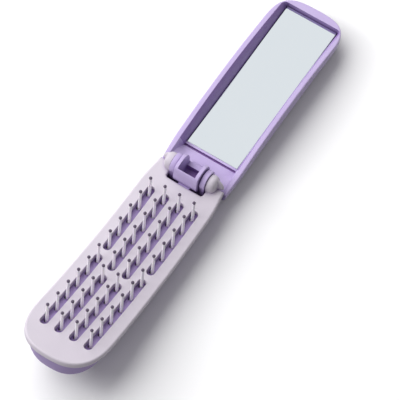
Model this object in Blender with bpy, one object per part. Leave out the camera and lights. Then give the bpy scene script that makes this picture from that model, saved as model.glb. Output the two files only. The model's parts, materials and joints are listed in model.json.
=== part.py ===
"""Folding pocket comb with a mirror, built opened flat on a table.

Metres, +Z up. X runs across the comb and +Y from the comb's free end to the mirror's far end.
The origin is on the table, under the lowest point of the bowed comb half.

The comb half is modelled flat, with Y as minus the distance from the hinge along its face and Z
as the height over the face, and is then bent onto the bow that the real comb face has.
"""

import math

import bmesh
import bpy
from mathutils import Matrix, Vector

# Bow of the comb face, which the mirror's rim repeats so that the closed halves lie parallel,
# held apart by the hinge so that the teeth fit between them
BOW_RADIUS = 0.271
HINGE_FROM_LOW_POINT = 0.0208
HINGE_OVER_FACE = 0.0032
CLOSING_ANGLE = math.radians(174)
CLOSED_GAP = 0.0089

# Comb half
COMB_LENGTH = 0.1109
COMB_DEPTH = 0.0146
COMB_WIDTH_AT_HINGE = 0.0320
COMB_WIDTH_AT_WAIST = 0.0354
COMB_WIDTH_AT_END = 0.0376
WAIST_AT = 0.0150
COMB_END_ROUND = 0.0229
COMB_END_EXPONENT = 2.6
BACK_FLAT = 0.0007
PLATE_START = -0.0002
PLATE_THICKNESS = 0.0030
PLATE_EDGE_ROUND = 0.0011
PLATE_OVERHANG = 0.0009
SHELL_END = 0.0006
SHELL_WALL = 0.0011
SHELL_FLOOR = 0.0014
SHELL_LEDGE = 0.0008
SHELL_END_WALL = 0.0013
SHELL_TUCK = 0.0088
SHELL_SECTION_SHARES = ((1, 1), (0.65, 0.93), (0.40, 0.80), (0.26, 0.58), (0.13, 0.30), (0, 0))
BOSS_RADIUS = 0.0014
BOSS_PLACE_SHARES = (0.05, 0.50, 0.95)

# Teeth, in four columns of eleven
COLUMNS = 4
COLUMN_SPACING = 0.00734
FIRST_TOOTH_AT = 0.0168
TOOTH_END_BORDER = 0.0173
GROUP_GAP = 0.00069
OUTER_FIRST_GROUP = 5
INNER_FIRST_GROUP = 6
TEETH_IN_COLUMN = 11
TOOTH_HEIGHT = 0.0138
TOOTH_ROOT_RADIUS = 0.00065
TOOTH_NECK_RADIUS = 0.00056
TOOTH_BALL_RADIUS = 0.00076
TOOTH_SIDES = 8
SLOT_WIDTH = 0.0039
SLOT_BEFORE_TOOTH = 0.0031
SLOT_PAST_TOOTH = 0.0034
SECOND_SLOT_SHIFT = 0.0012
SLOT_END_STEPS = 6

# Bed under the plate and the carrier of the teeth under the bed
BED_UNDER_FACE = 0.0032
BED_THICKNESS = 0.0012
BED_HOLE_RADIUS = 0.00135
BED_HOLE_SIDES = 10
CARRIER_THICKNESS = 0.0012
CARRIER_BORDER = 0.00095
CARRIER_END_BORDER = 0.0030
CORNER_PROFILE_SHARE = 0.5

# Hinge
BARREL_RADIUS = 0.0062
BARREL_HALF_WIDTH = 0.0060
KNUCKLE_RADIUS = 0.0052
KNUCKLE_WIDTH = 0.0025
EAR_RADIUS = 0.0045
EAR_WIDTH = 0.0050
EAR_ROUND = 0.0042
EAR_ROUND_STEPS = 5
PIN_RADIUS = 0.0011
PIN_CLEARANCE = 0.00009
PIN_END_WALL = 0.0014
HINGE_SIDES = 32
PIN_SIDES = 16
NOTCH_FRONT = 0.0065
WINDOW_HALF_WIDTH = 0.0044
WINDOW_FRONT = 0.0043
WINDOW_BACK = 0.0038
WINDOW_DEPTH = 0.0104
WINDOW_BACK_UNDER_TOP = 0.0076
TONGUE_WIDTH = 0.0058
TONGUE_LENGTH = 0.0004

# Mirror half
CASE_START = 0.0009
CASE_SIDE_BORDER = 0.0045
CASE_END_BORDER = 0.0045
CASE_HINGE_TAPER = 0.0016
CASE_WIDENS_OVER = 0.0150
CASE_END_ROUND = 0.0171
CASE_END_EXPONENT = 3.2
CASE_FLOOR = 0.0015
CASE_TUCK = 0.0052
CASE_SECTION_SHARES = (
    (1, 1),
    (0.65, 0.965),
    (0.35, 0.86),
    (0.13, 0.68),
    (0.02, 0.45),
    (0, 0.14),
    (0.04, 0.04),
    (0.13, 0),
)
GLASS_UNDER_HINGE = 0.00933
GLASS_START = 0.0157
GLASS_WIDTH = 0.0254
GLASS_LENGTH = 0.0808
GLASS_THICKNESS = 0.0015
PAD_THICKNESS = 0.0008
PAD_BORDER = 0.0010
RIM_WIDTH = 0.0023
RECESS_END_GAP = 0.0003
RECESS_SIDE_GAP = 0.0002
RECESS_SECTION_SHARES = ((0, 0), (0.10, 0.30), (0.30, 0.58), (0.62, 0.82), (1, 1))
GROOVE_DEPTH = 0.0006
GROOVE_LENGTH = 0.0060
RAMP_FOOT_FROM_GLASS = 0.0012
RAMP_TOP_AT = 0.0045
RAMP_TOP_UNDER_HINGE = 0.0016
RAMP_SIDE_UNDER_HINGE = 0.0058
RAMP_CROSS_SHARES = ((-1, 0), (-0.84, 0.55), (-0.55, 1), (0.55, 1), (0.84, 0.55), (1, 0))

# Shared values
END_STEPS = 7
SIDE_STEPS = 16
STRIP = 0.0048
CLEARANCE = 0.0003
SEAT_GAP = 0.0001
OVERRUN = 0.0020
WELD = 0.00001

LOW_ANGLE = math.asin(HINGE_FROM_LOW_POINT / BOW_RADIUS)
FACE_LOW_Z = COMB_DEPTH - BACK_FLAT
BOW_CENTRE_Z = FACE_LOW_Z + BOW_RADIUS
HINGE_Y = HINGE_FROM_LOW_POINT
HINGE_Z = FACE_LOW_Z + HINGE_OVER_FACE
GLASS_TOP_Z = HINGE_Z - GLASS_UNDER_HINGE
CASE_FLOOR_Z = GLASS_TOP_Z - GLASS_THICKNESS - PAD_THICKNESS - 2 * SEAT_GAP
CASE_BACK_Z = CASE_FLOOR_Z - CASE_FLOOR
KNUCKLE_INNER = BARREL_HALF_WIDTH + CLEARANCE + SEAT_GAP
KNUCKLE_OUTER = KNUCKLE_INNER + KNUCKLE_WIDTH
EAR_INNER = KNUCKLE_OUTER + CLEARANCE
EAR_OUTER = EAR_INNER + EAR_WIDTH
CASE_WIDTH = GLASS_WIDTH + 2 * CASE_SIDE_BORDER
CASE_WIDTH_AT_HINGE = CASE_WIDTH - CASE_HINGE_TAPER
CASE_LENGTH = GLASS_START + GLASS_LENGTH + CASE_END_BORDER
LAST_TOOTH_AT = COMB_LENGTH - TOOTH_END_BORDER
TOOTH_PITCH = (LAST_TOOTH_AT - FIRST_TOOTH_AT - GROUP_GAP) / (TEETH_IN_COLUMN - 1)
TOOTH_TILT = (FIRST_TOOTH_AT + LAST_TOOTH_AT) / 2 / BOW_RADIUS - LOW_ANGLE
BED_TOP = -BED_UNDER_FACE
BED_BOTTOM = BED_TOP - BED_THICKNESS
CARRIER_TOP = BED_BOTTOM - SEAT_GAP
CARRIER_BOTTOM = CARRIER_TOP - CARRIER_THICKNESS
SHELL_TOP = -PLATE_THICKNESS - SEAT_GAP
SHELL_INNER_FLOOR = -COMB_DEPTH + SHELL_FLOOR
ROOM_START = BARREL_RADIUS + CLEARANCE + SHELL_END_WALL

LILAC = (0.52, 0.42, 0.72, 1.0)
PALE_LILAC = (0.86, 0.83, 0.90, 1.0)
TOOTH_WHITE = (0.90, 0.86, 0.95, 1.0)
SILVER = (0.85, 0.88, 0.92, 1.0)
STEEL = (0.60, 0.60, 0.62, 1.0)
PAD_WHITE = (0.80, 0.80, 0.80, 1.0)


def clear_scene():
    """Removes every object of the scene."""
    for obj in list(bpy.data.objects):
        bpy.data.objects.remove(obj)


def new_collection(name):
    """A collection linked to the scene."""
    collection = bpy.data.collections.new(name)
    bpy.context.scene.collection.children.link(collection)
    return collection


def new_material(name, colour, roughness, metallic=0.0):
    """A Principled material with one colour."""
    material = bpy.data.materials.new(name)
    material.use_nodes = True
    shader = material.node_tree.nodes["Principled BSDF"]
    shader.inputs["Base Color"].default_value = colour
    shader.inputs["Roughness"].default_value = roughness
    shader.inputs["Metallic"].default_value = metallic
    return material


def object_from(bm, name, collection, material=None):
    """An object from a bmesh, with its faces turned outwards and its round faces smooth."""
    bmesh.ops.remove_doubles(bm, verts=bm.verts, dist=WELD)
    bmesh.ops.recalc_face_normals(bm, faces=bm.faces)
    mesh = bpy.data.meshes.new(name)
    bm.to_mesh(mesh)
    bm.free()
    obj = bpy.data.objects.new(name, mesh)
    collection.objects.link(obj)
    if material:
        mesh.materials.append(material)
    mesh.shade_smooth()
    mesh.set_sharp_from_angle(angle=math.radians(35))
    return obj


def cutter_from(bm, name):
    """An object that only cuts or joins: hidden in renders and drawn as a wire."""
    obj = object_from(bm, name, cutters)
    obj.hide_render = True
    obj.display_type = "WIRE"
    return obj


def apply_boolean(obj, other, operation):
    """Cuts other from obj, or joins it to obj, for good."""
    modifier = obj.modifiers.new(other.name, "BOOLEAN")
    modifier.operation = operation
    modifier.solver = "EXACT"
    modifier.object = other
    bpy.context.view_layer.update()
    evaluated = obj.evaluated_get(bpy.context.evaluated_depsgraph_get())
    mesh = bpy.data.meshes.new_from_object(evaluated)
    obj.modifiers.remove(modifier)
    obj.data = mesh
    bpy.data.objects.remove(other)


def cut(obj, other):
    """Takes other away from obj."""
    apply_boolean(obj, other, "DIFFERENCE")


def join(obj, other):
    """Joins other to obj."""
    apply_boolean(obj, other, "UNION")


def ring_solid(rings, striped=False):
    """A closed bmesh through rings of equally many points.

    Each end is one face or, where striped, a row of faces between the two mirrored sides.
    """
    bm = bmesh.new()
    loops = [[bm.verts.new(point) for point in ring] for ring in rings]
    count = len(loops[0])
    for lower, upper in zip(loops, loops[1:]):
        for i in range(count):
            j = (i + 1) % count
            bm.faces.new((lower[i], lower[j], upper[j], upper[i]))
    for loop in (loops[0], loops[-1]):
        if striped:
            for i in range((count - 1) // 2):
                corners = (loop[i], loop[i + 1], loop[-i - 2], loop[-i - 1])
                bm.faces.new(list(dict.fromkeys(corners)))
        else:
            bm.faces.new(loop)
    return bm


def box(low, high):
    """A bmesh box between two corners."""
    bm = bmesh.new()
    bmesh.ops.create_cube(bm, size=1.0)
    low, high = Vector(low), Vector(high)
    size = high - low
    bmesh.ops.scale(bm, vec=size, verts=bm.verts)
    bmesh.ops.translate(bm, vec=(low + high) / 2, verts=bm.verts)
    return bm


def cylinder_x(radius, low_x, high_x, sides=HINGE_SIDES):
    """A bmesh cylinder round the hinge axis, between two places along X."""
    bm = bmesh.new()
    bmesh.ops.create_cone(
        bm,
        cap_ends=True,
        segments=sides,
        radius1=radius,
        radius2=radius,
        depth=high_x - low_x,
        matrix=Matrix.Rotation(math.radians(90), 4, "Y"),
    )
    bmesh.ops.translate(bm, vec=((low_x + high_x) / 2, HINGE_Y, HINGE_Z), verts=bm.verts)
    return bm


def slab_x(outline, low_x, high_x):
    """A bmesh that extrudes an outline of (y, z) points, from the hinge, from low_x to high_x."""
    return ring_solid([[(x, HINGE_Y + y, z) for y, z in outline] for x in (low_x, high_x)])


def on_bow(x, along, height):
    """The world place of a point given across, along and over the comb's face."""
    angle = along / BOW_RADIUS - LOW_ANGLE
    reach = BOW_RADIUS - height
    return Vector((x, -reach * math.sin(angle), BOW_CENTRE_Z - reach * math.cos(angle)))


def bend(obj):
    """Cuts a flat piece into strips and lays it on the bow."""
    bm = bmesh.new()
    bm.from_mesh(obj.data)
    for i in range(int(COMB_LENGTH / STRIP) + 1):
        geometry = bm.verts[:] + bm.edges[:] + bm.faces[:]
        bmesh.ops.bisect_plane(
            bm, geom=geometry, dist=WELD, plane_co=(0, -i * STRIP, 0), plane_no=(0, 1, 0)
        )
    bmesh.ops.triangulate(bm, faces=bm.faces)
    for vertex in bm.verts:
        vertex.co = on_bow(vertex.co.x, -vertex.co.y, vertex.co.z)
    bm.to_mesh(obj.data)
    bm.free()


def end_curve(half_width, start, end, exponent):
    """Points of a blunt rounded end, from the side at start round to the middle at end."""
    points = []
    for i in range(END_STEPS + 1):
        angle = math.pi / 2 * i / END_STEPS
        x = half_width * math.cos(angle) ** (2 / exponent)
        y = start + (end - start) * math.sin(angle) ** (2 / exponent)
        points.append((x, y))
    points[-1] = (0, end)
    return points


def closed_outline(side):
    """A whole outline from the points of its +X side, whose last point is in the middle."""
    return side + [(-x, y) for x, y in reversed(side[:-1])]


def comb_half_width(along):
    """Half the comb's width at a distance from the hinge."""
    if along < WAIST_AT:
        grown = math.sin(math.pi / 2 * max(along, 0) / WAIST_AT)
        return (COMB_WIDTH_AT_HINGE + (COMB_WIDTH_AT_WAIST - COMB_WIDTH_AT_HINGE) * grown) / 2
    grown = (along - WAIST_AT) / (COMB_LENGTH - COMB_END_ROUND - WAIST_AT)
    return (COMB_WIDTH_AT_WAIST + (COMB_WIDTH_AT_END - COMB_WIDTH_AT_WAIST) * grown) / 2


def comb_outline(inset, start):
    """The flat comb's outline, drawn in by inset, from a start near the hinge."""
    last_straight = COMB_LENGTH - COMB_END_ROUND
    side = []
    for i in range(SIDE_STEPS):
        along = start + (last_straight - start) * i / SIDE_STEPS
        side.append((comb_half_width(along) - inset, -along))
    half_width = comb_half_width(last_straight) - inset
    end = end_curve(half_width, -last_straight, inset - COMB_LENGTH, COMB_END_EXPONENT)
    return closed_outline(side + end)


def comb_rings(steps, start):
    """Rings of the flat comb for (inset, height) steps, from a start near the hinge."""
    rings = []
    for inset, height in steps:
        rings.append([(x, y, height) for x, y in comb_outline(inset, start)])
    return rings


def tooth_places():
    """(x, along, group) of every tooth."""
    for column in range(COLUMNS):
        x = (column - (COLUMNS - 1) / 2) * COLUMN_SPACING
        outer = column in (0, COLUMNS - 1)
        first_group = OUTER_FIRST_GROUP if outer else INNER_FIRST_GROUP
        for row in range(TEETH_IN_COLUMN):
            group = int(row >= first_group)
            yield x, FIRST_TOOTH_AT + row * TOOTH_PITCH + group * GROUP_GAP, group


def slot_spans():
    """(x, near, far) of every slot: the distances of its two ends from the hinge."""
    spans = {}
    for x, along, group in tooth_places():
        near = along - SLOT_BEFORE_TOOTH + group * SECOND_SLOT_SHIFT
        far = along + SLOT_PAST_TOOTH + group * SECOND_SLOT_SHIFT
        first, last = spans.get((x, group), (near, far))
        spans[x, group] = (min(first, near), max(last, far))
    return [(x, near, far) for (x, _), (near, far) in spans.items()]


def slot_outline(x, near, far):
    """A slot with half-round ends."""
    radius = SLOT_WIDTH / 2
    points = []
    for centre, turn in ((-near - radius, 0), (radius - far, math.pi)):
        for i in range(SLOT_END_STEPS + 1):
            angle = turn + math.pi * i / SLOT_END_STEPS
            points.append((x + radius * math.cos(angle), centre + radius * math.sin(angle)))
    return points


def tooth_matrix(x, along, height):
    """Stands something on the bow along the shared direction of the teeth."""
    return Matrix.Translation(on_bow(x, along, height)) @ Matrix.Rotation(-TOOTH_TILT, 4, "X")


def square_matrix(along, height):
    """Stands something on the bow's middle line, square to the bow."""
    slope = along / BOW_RADIUS - LOW_ANGLE
    return Matrix.Translation(on_bow(0, along, height)) @ Matrix.Rotation(-slope, 4, "X")


def make_comb_plate():
    """The pale slotted face of the comb, with the two ears that hold the hinge pin."""
    rings = comb_rings(
        [
            (PLATE_EDGE_ROUND / 4, -PLATE_THICKNESS),
            (0, -PLATE_THICKNESS + PLATE_EDGE_ROUND / 4),
            (0, -PLATE_EDGE_ROUND),
            (PLATE_EDGE_ROUND * 0.3, -PLATE_EDGE_ROUND * 0.3),
            (PLATE_EDGE_ROUND, 0),
        ],
        PLATE_START,
    )
    plate = object_from(ring_solid(rings, True), "comb_plate", parts, pale_plastic)
    slots = bmesh.new()
    for x, near, far in slot_spans():
        outline = slot_outline(x, near, far)
        ring = [
            [(px, py, z) for px, py in outline] for z in (-PLATE_THICKNESS - OVERRUN, OVERRUN)
        ]
        mesh = bpy.data.meshes.new("slot")
        one = ring_solid(ring)
        one.to_mesh(mesh)
        one.free()
        slots.from_mesh(mesh)
        bpy.data.meshes.remove(mesh)
    cut(plate, cutter_from(slots, "slots"))
    heights = (-PLATE_THICKNESS - OVERRUN, OVERRUN)
    notch = ring_solid([[(x, y, z) for x, y in notch_outline()] for z in heights])
    cut(plate, cutter_from(notch, "notch"))
    bend(plate)
    for side in (-1, 1):
        join(plate, cutter_from(ear(side), "ear"))
        low, high = sorted((side * (EAR_INNER - OVERRUN), side * (EAR_OUTER - PIN_END_WALL)))
        bore = cylinder_x(PIN_RADIUS + PIN_CLEARANCE, low, high, PIN_SIDES)
        cut(plate, cutter_from(bore, "ear_bore"))
    return plate


def notch_outline():
    """The notch for the hinge, with a short tongue that stands into it from its front edge."""
    tongue = TONGUE_WIDTH / 2
    right = [
        (EAR_INNER, OVERRUN),
        (EAR_INNER, -NOTCH_FRONT),
        (tongue, -NOTCH_FRONT),
        (tongue, TONGUE_LENGTH - NOTCH_FRONT),
    ]
    return right + [(-x, y) for x, y in reversed(right)]


def ear(side):
    """One ear: a stub round the hinge axis whose outer end is rounded over."""
    flat_radius = EAR_RADIUS - EAR_ROUND
    profile = [(EAR_INNER, EAR_RADIUS)]
    for i in range(EAR_ROUND_STEPS + 1):
        angle = math.pi / 2 * i / EAR_ROUND_STEPS
        x = EAR_OUTER - EAR_ROUND + EAR_ROUND * math.sin(angle)
        profile.append((x, flat_radius + EAR_ROUND * math.cos(angle)))
    rings = []
    for x, radius in profile:
        ring = []
        for i in range(HINGE_SIDES):
            angle = 2 * math.pi * i / HINGE_SIDES
            y = HINGE_Y + radius * math.cos(angle)
            ring.append((side * x, y, HINGE_Z + radius * math.sin(angle)))
        rings.append(ring)
    return ring_solid(rings)


def make_tooth_bed():
    """The lilac bed under the slots, with a clearance hole round the foot of every tooth."""
    inset = PLATE_OVERHANG + SHELL_WALL + CLEARANCE
    rings = comb_rings([(inset, BED_BOTTOM), (inset, BED_TOP)], ROOM_START + CLEARANCE)
    bed = object_from(ring_solid(rings, True), "tooth_bed", parts, lilac_plastic)
    bend(bed)
    holes = bmesh.new()
    depth = BED_THICKNESS + 2 * OVERRUN
    for x, along, _ in tooth_places():
        bmesh.ops.create_cone(
            holes,
            cap_ends=True,
            segments=BED_HOLE_SIDES,
            radius1=BED_HOLE_RADIUS,
            radius2=BED_HOLE_RADIUS,
            depth=depth,
            matrix=tooth_matrix(x, along, BED_TOP),
        )
    cut(bed, cutter_from(holes, "bed_holes"))
    return bed


def tooth_profile():
    """(radius, height) of a tooth from its ball tip down into the carrier."""
    ball_centre = TOOTH_HEIGHT - TOOTH_BALL_RADIUS
    points = [(0, TOOTH_HEIGHT)]
    for degrees in (45, 0, -45):
        angle = math.radians(degrees)
        points.append(
            (TOOTH_BALL_RADIUS * math.cos(angle), ball_centre + TOOTH_BALL_RADIUS * math.sin(angle))
        )
    points[-1] = (TOOTH_NECK_RADIUS, points[-1][1])
    foot = CARRIER_TOP - CARRIER_THICKNESS / 2 - BED_TOP
    points += [(TOOTH_ROOT_RADIUS, foot), (0, foot)]
    return points


def add_tooth(bm, matrix):
    """Adds one turned tooth to a bmesh."""
    profile = tooth_profile()
    rings = []
    for radius, height in profile[1:-1]:
        ring = []
        for i in range(TOOTH_SIDES):
            angle = 2 * math.pi * i / TOOTH_SIDES
            point = Vector((radius * math.cos(angle), radius * math.sin(angle), height))
            ring.append(bm.verts.new(matrix @ point))
        rings.append(ring)
    for upper, lower in zip(rings, rings[1:]):
        for i in range(TOOTH_SIDES):
            j = (i + 1) % TOOTH_SIDES
            bm.faces.new((lower[i], lower[j], upper[j], upper[i]))
    tip = bm.verts.new(matrix @ Vector((0, 0, profile[0][1])))
    for i in range(TOOTH_SIDES):
        bm.faces.new((rings[0][i], rings[0][(i + 1) % TOOTH_SIDES], tip))
    bm.faces.new(list(reversed(rings[-1])))


def make_tooth_carrier():
    """The plate under the bed that carries all the teeth."""
    half_width = (COLUMNS - 1) / 2 * COLUMN_SPACING + TOOTH_ROOT_RADIUS + CARRIER_BORDER
    near = -(FIRST_TOOTH_AT - CARRIER_END_BORDER)
    far = -(LAST_TOOTH_AT + CARRIER_END_BORDER)
    slab = box((-half_width, far, CARRIER_BOTTOM), (half_width, near, CARRIER_TOP))
    upright = [edge for edge in slab.edges if abs(edge.verts[0].co.z - edge.verts[1].co.z) > WELD]
    bmesh.ops.bevel(
        slab,
        geom=upright,
        offset=CARRIER_END_BORDER / 2,
        segments=3,
        affect="EDGES",
        profile=CORNER_PROFILE_SHARE,
    )
    carrier = object_from(slab, "tooth_carrier", parts, tooth_plastic)
    bend(carrier)
    teeth = bmesh.new()
    for x, along, _ in tooth_places():
        add_tooth(teeth, tooth_matrix(x, along, BED_TOP))
    join(carrier, cutter_from(teeth, "teeth"))
    return carrier


def shell_outer():
    """(inset, height) steps up the outside of the shell's section."""
    deep = COMB_DEPTH + SHELL_TOP
    steps = []
    for tuck_share, share in SHELL_SECTION_SHARES:
        steps.append((PLATE_OVERHANG + SHELL_TUCK * tuck_share, SHELL_TOP - deep * share))
    return steps


def shell_inner():
    """(inset, height) steps down the inside of the shell's section, past the ledge for the bed."""
    deep = SHELL_TOP - SHELL_INNER_FLOOR
    inset = PLATE_OVERHANG + SHELL_WALL
    ledge_top = BED_BOTTOM - SEAT_GAP
    steps = [(inset, SHELL_TOP), (inset, ledge_top), (inset + SHELL_LEDGE, ledge_top)]
    for tuck_share, share in reversed(SHELL_SECTION_SHARES[:-2]):
        step = max(SHELL_TUCK * tuck_share, SHELL_LEDGE)
        steps.append((inset + step, SHELL_TOP - deep * share))
    return steps


def knuckle(low_x, high_x):
    """One round knuckle with the neck that carries it on the shell's end."""
    outline = []
    for i in range(HINGE_SIDES * 3 // 4 + 1):
        angle = 2 * math.pi * i / HINGE_SIDES - math.pi / 2
        y = KNUCKLE_RADIUS * math.cos(angle)
        outline.append((y, HINGE_Z + KNUCKLE_RADIUS * math.sin(angle)))
    bottom = on_bow(0, 0, SHELL_TOP).z - SHELL_END_WALL
    outline += [(-KNUCKLE_RADIUS, bottom), (0, bottom)]
    return slab_x(outline, low_x, high_x)


def make_comb_shell():
    """The lilac hollow back of the comb, with the carrier's bosses and the two knuckles."""
    rings = comb_rings(shell_outer(), -SHELL_END)
    for inset, height in shell_inner():
        start = ROOM_START + inset - PLATE_OVERHANG - SHELL_WALL
        rings += comb_rings([(inset, height)], start)
    shell = object_from(ring_solid(rings, True), "comb_shell", parts, lilac_plastic)
    bend(shell)
    reach = 2 * COMB_LENGTH
    below = box((-reach, -reach, -COMB_DEPTH), (reach, reach, 0))
    cut(shell, cutter_from(below, "below_table"))
    beyond = box((-reach, HINGE_Y + SHELL_END, -COMB_DEPTH), (reach, reach, 2 * COMB_DEPTH))
    cut(shell, cutter_from(beyond, "beyond_hinge"))
    barrel_room = BARREL_HALF_WIDTH + CLEARANCE
    room = cylinder_x(BARREL_RADIUS + CLEARANCE, -barrel_room, barrel_room)
    cut(shell, cutter_from(room, "barrel_room"))
    for side in (-1, 1):
        low_x, high_x = sorted((side * KNUCKLE_INNER, side * KNUCKLE_OUTER))
        join(shell, cutter_from(knuckle(low_x, high_x), "knuckle"))
        bore = cylinder_x(PIN_RADIUS + PIN_CLEARANCE, low_x - OVERRUN, high_x + OVERRUN, PIN_SIDES)
        cut(shell, cutter_from(bore, "knuckle_bore"))
    bottom = SHELL_INNER_FLOOR - SHELL_FLOOR / 3
    top = CARRIER_BOTTOM - SEAT_GAP
    for share in BOSS_PLACE_SHARES:
        along = FIRST_TOOTH_AT + (LAST_TOOTH_AT - FIRST_TOOTH_AT) * share
        boss = bmesh.new()
        bmesh.ops.create_cone(
            boss,
            cap_ends=True,
            segments=PIN_SIDES,
            radius1=BOSS_RADIUS,
            radius2=BOSS_RADIUS,
            depth=top - bottom,
            matrix=square_matrix(along, (top + bottom) / 2),
        )
        join(shell, cutter_from(boss, "carrier_boss"))
    return shell


def case_half_width(along):
    """Half the mirror case's width at a distance from the hinge."""
    grown = math.sin(math.pi / 2 * min(along / CASE_WIDENS_OVER, 1))
    return (CASE_WIDTH_AT_HINGE + (CASE_WIDTH - CASE_WIDTH_AT_HINGE) * grown) / 2


def case_outline(inset):
    """The case's outline drawn in by inset, with Y from the hinge."""
    last_straight = CASE_LENGTH - CASE_END_ROUND
    side = []
    for i in range(SIDE_STEPS):
        along = CASE_START + (last_straight - CASE_START) * i / SIDE_STEPS
        side.append((case_half_width(along) - inset, along))
    half_width = CASE_WIDTH / 2 - inset
    end = end_curve(half_width, last_straight, CASE_LENGTH - inset, CASE_END_EXPONENT)
    return closed_outline(side + end)


def recess_outline(half_width):
    """The recess's outline at one level, with Y from the hinge and its far corners blunted."""
    end = GLASS_START + GLASS_LENGTH + RECESS_END_GAP
    blunt = half_width - GLASS_WIDTH / 2
    start = CASE_START - OVERRUN
    side = []
    for i in range(SIDE_STEPS + 1):
        side.append((half_width, start + (end - blunt - start) * i / SIDE_STEPS))
    side += [(half_width - blunt * 0.25, end - blunt * 0.25), (half_width - blunt, end)]
    return side + [(-x, y) for x, y in reversed(side)]


def rim_z(along):
    """Height of the mirror case's rim: a bow beside the comb's, turned open round the hinge."""
    y, z = -HINGE_FROM_LOW_POINT, BOW_CENTRE_Z - HINGE_Z
    turn_cos, turn_sin = math.cos(CLOSING_ANGLE), math.sin(CLOSING_ANGLE)
    centre_y = y * turn_cos + z * turn_sin
    centre_z = z * turn_cos - y * turn_sin
    return HINGE_Z + centre_z + math.sqrt((BOW_RADIUS - CLOSED_GAP) ** 2 - (along - centre_y) ** 2)


def ramp():
    """The ramp from the glass up to the barrel, which falls away to both side walls."""
    under_floor = CASE_FLOOR_Z - CASE_FLOOR * 0.8
    foot = GLASS_START - RAMP_FOOT_FROM_GLASS
    side_top = HINGE_Z - RAMP_SIDE_UNDER_HINGE
    rise = RAMP_SIDE_UNDER_HINGE - RAMP_TOP_UNDER_HINGE
    half_width = CASE_WIDTH_AT_HINGE / 2 - RIM_WIDTH / 2
    rings = []
    for cross_share, rise_share in RAMP_CROSS_SHARES:
        top = side_top + rise * rise_share
        outline = [
            (CASE_START, under_floor),
            (foot, under_floor),
            (foot, CASE_FLOOR_Z - GROOVE_DEPTH),
            (RAMP_TOP_AT, top),
            (CASE_START, top),
        ]
        rings.append([(half_width * cross_share, HINGE_Y + y, z) for y, z in outline])
    return ring_solid(rings)


def make_mirror_case():
    """The lilac tray round the mirror, with the hinge barrel moulded on."""
    rings = []
    for tuck_share, share in CASE_SECTION_SHARES:
        ring = []
        for x, y in case_outline(CASE_TUCK * tuck_share):
            ring.append((x, HINGE_Y + y, rim_z(y) + share * (CASE_BACK_Z - rim_z(y))))
        rings.append(ring)
    case = object_from(ring_solid(rings, True), "mirror_case", parts, lilac_plastic)
    foot = GLASS_WIDTH / 2 + RECESS_SIDE_GAP
    rings = []
    for width_share, share in RECESS_SECTION_SHARES:
        half_width = foot + (CASE_WIDTH / 2 - RIM_WIDTH - foot) * width_share
        ring = []
        for x, y in recess_outline(half_width):
            top = rim_z(y) + CLEARANCE
            ring.append((x, HINGE_Y + y, CASE_FLOOR_Z + share * (top - CASE_FLOOR_Z)))
        rings.append(ring)
    cut(case, cutter_from(ring_solid(rings, True), "recess"))
    groove_end = HINGE_Y + GLASS_START - CLEARANCE
    groove = box(
        (-foot, groove_end - GROOVE_LENGTH, CASE_FLOOR_Z - GROOVE_DEPTH),
        (foot, groove_end, CASE_FLOOR_Z + GROOVE_DEPTH),
    )
    cut(case, cutter_from(groove, "groove"))
    join(case, cutter_from(ramp(), "ramp"))
    for side in (-1, 1):
        step = BARREL_HALF_WIDTH - SEAT_GAP
        for radius, reach in ((KNUCKLE_RADIUS, KNUCKLE_OUTER), (EAR_RADIUS, EAR_OUTER + CLEARANCE)):
            low_x, high_x = sorted((side * step, side * (reach + SEAT_GAP)))
            room = cylinder_x(radius + CLEARANCE, low_x, high_x)
            cut(case, cutter_from(room, "hinge_room"))
            step = reach - SEAT_GAP
    barrel = cylinder_x(BARREL_RADIUS, -BARREL_HALF_WIDTH, BARREL_HALF_WIDTH)
    join(case, cutter_from(barrel, "barrel"))
    top = HINGE_Z + BARREL_RADIUS
    floor = top - WINDOW_DEPTH
    back = top - WINDOW_BACK_UNDER_TOP
    window = [
        (-WINDOW_FRONT, floor),
        (WINDOW_BACK, floor),
        (WINDOW_BACK, back),
        (BARREL_RADIUS + OVERRUN, back),
        (BARREL_RADIUS + OVERRUN, top + OVERRUN),
        (-WINDOW_FRONT, top + OVERRUN),
    ]
    cut(case, cutter_from(slab_x(window, -WINDOW_HALF_WIDTH, WINDOW_HALF_WIDTH), "barrel_window"))
    reach = BARREL_HALF_WIDTH + OVERRUN
    bore = cylinder_x(PIN_RADIUS + PIN_CLEARANCE, -reach, reach, PIN_SIDES)
    cut(case, cutter_from(bore, "barrel_bore"))
    return case


def make_mirror_glass():
    """The flat mirror."""
    start = HINGE_Y + GLASS_START
    bm = box(
        (-GLASS_WIDTH / 2, start, GLASS_TOP_Z - GLASS_THICKNESS),
        (GLASS_WIDTH / 2, start + GLASS_LENGTH, GLASS_TOP_Z),
    )
    return object_from(bm, "mirror_glass", parts, mirror_silver)


def make_mirror_pad():
    """The foam tape that holds the mirror to the case."""
    start = HINGE_Y + GLASS_START + PAD_BORDER
    half_width = GLASS_WIDTH / 2 - PAD_BORDER
    bottom = CASE_FLOOR_Z + SEAT_GAP
    bm = box(
        (-half_width, start, bottom),
        (half_width, start + GLASS_LENGTH - 2 * PAD_BORDER, bottom + PAD_THICKNESS),
    )
    return object_from(bm, "mirror_pad", parts, pad_foam)


def make_hinge_pin(name, side):
    """One of the two steel pins, from the barrel's cheek through the knuckle into the ear."""
    low_x, high_x = sorted(
        (side * (WINDOW_HALF_WIDTH + CLEARANCE), side * (EAR_OUTER - PIN_END_WALL - SEAT_GAP))
    )
    return object_from(cylinder_x(PIN_RADIUS, low_x, high_x, PIN_SIDES), name, parts, pin_steel)


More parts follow.
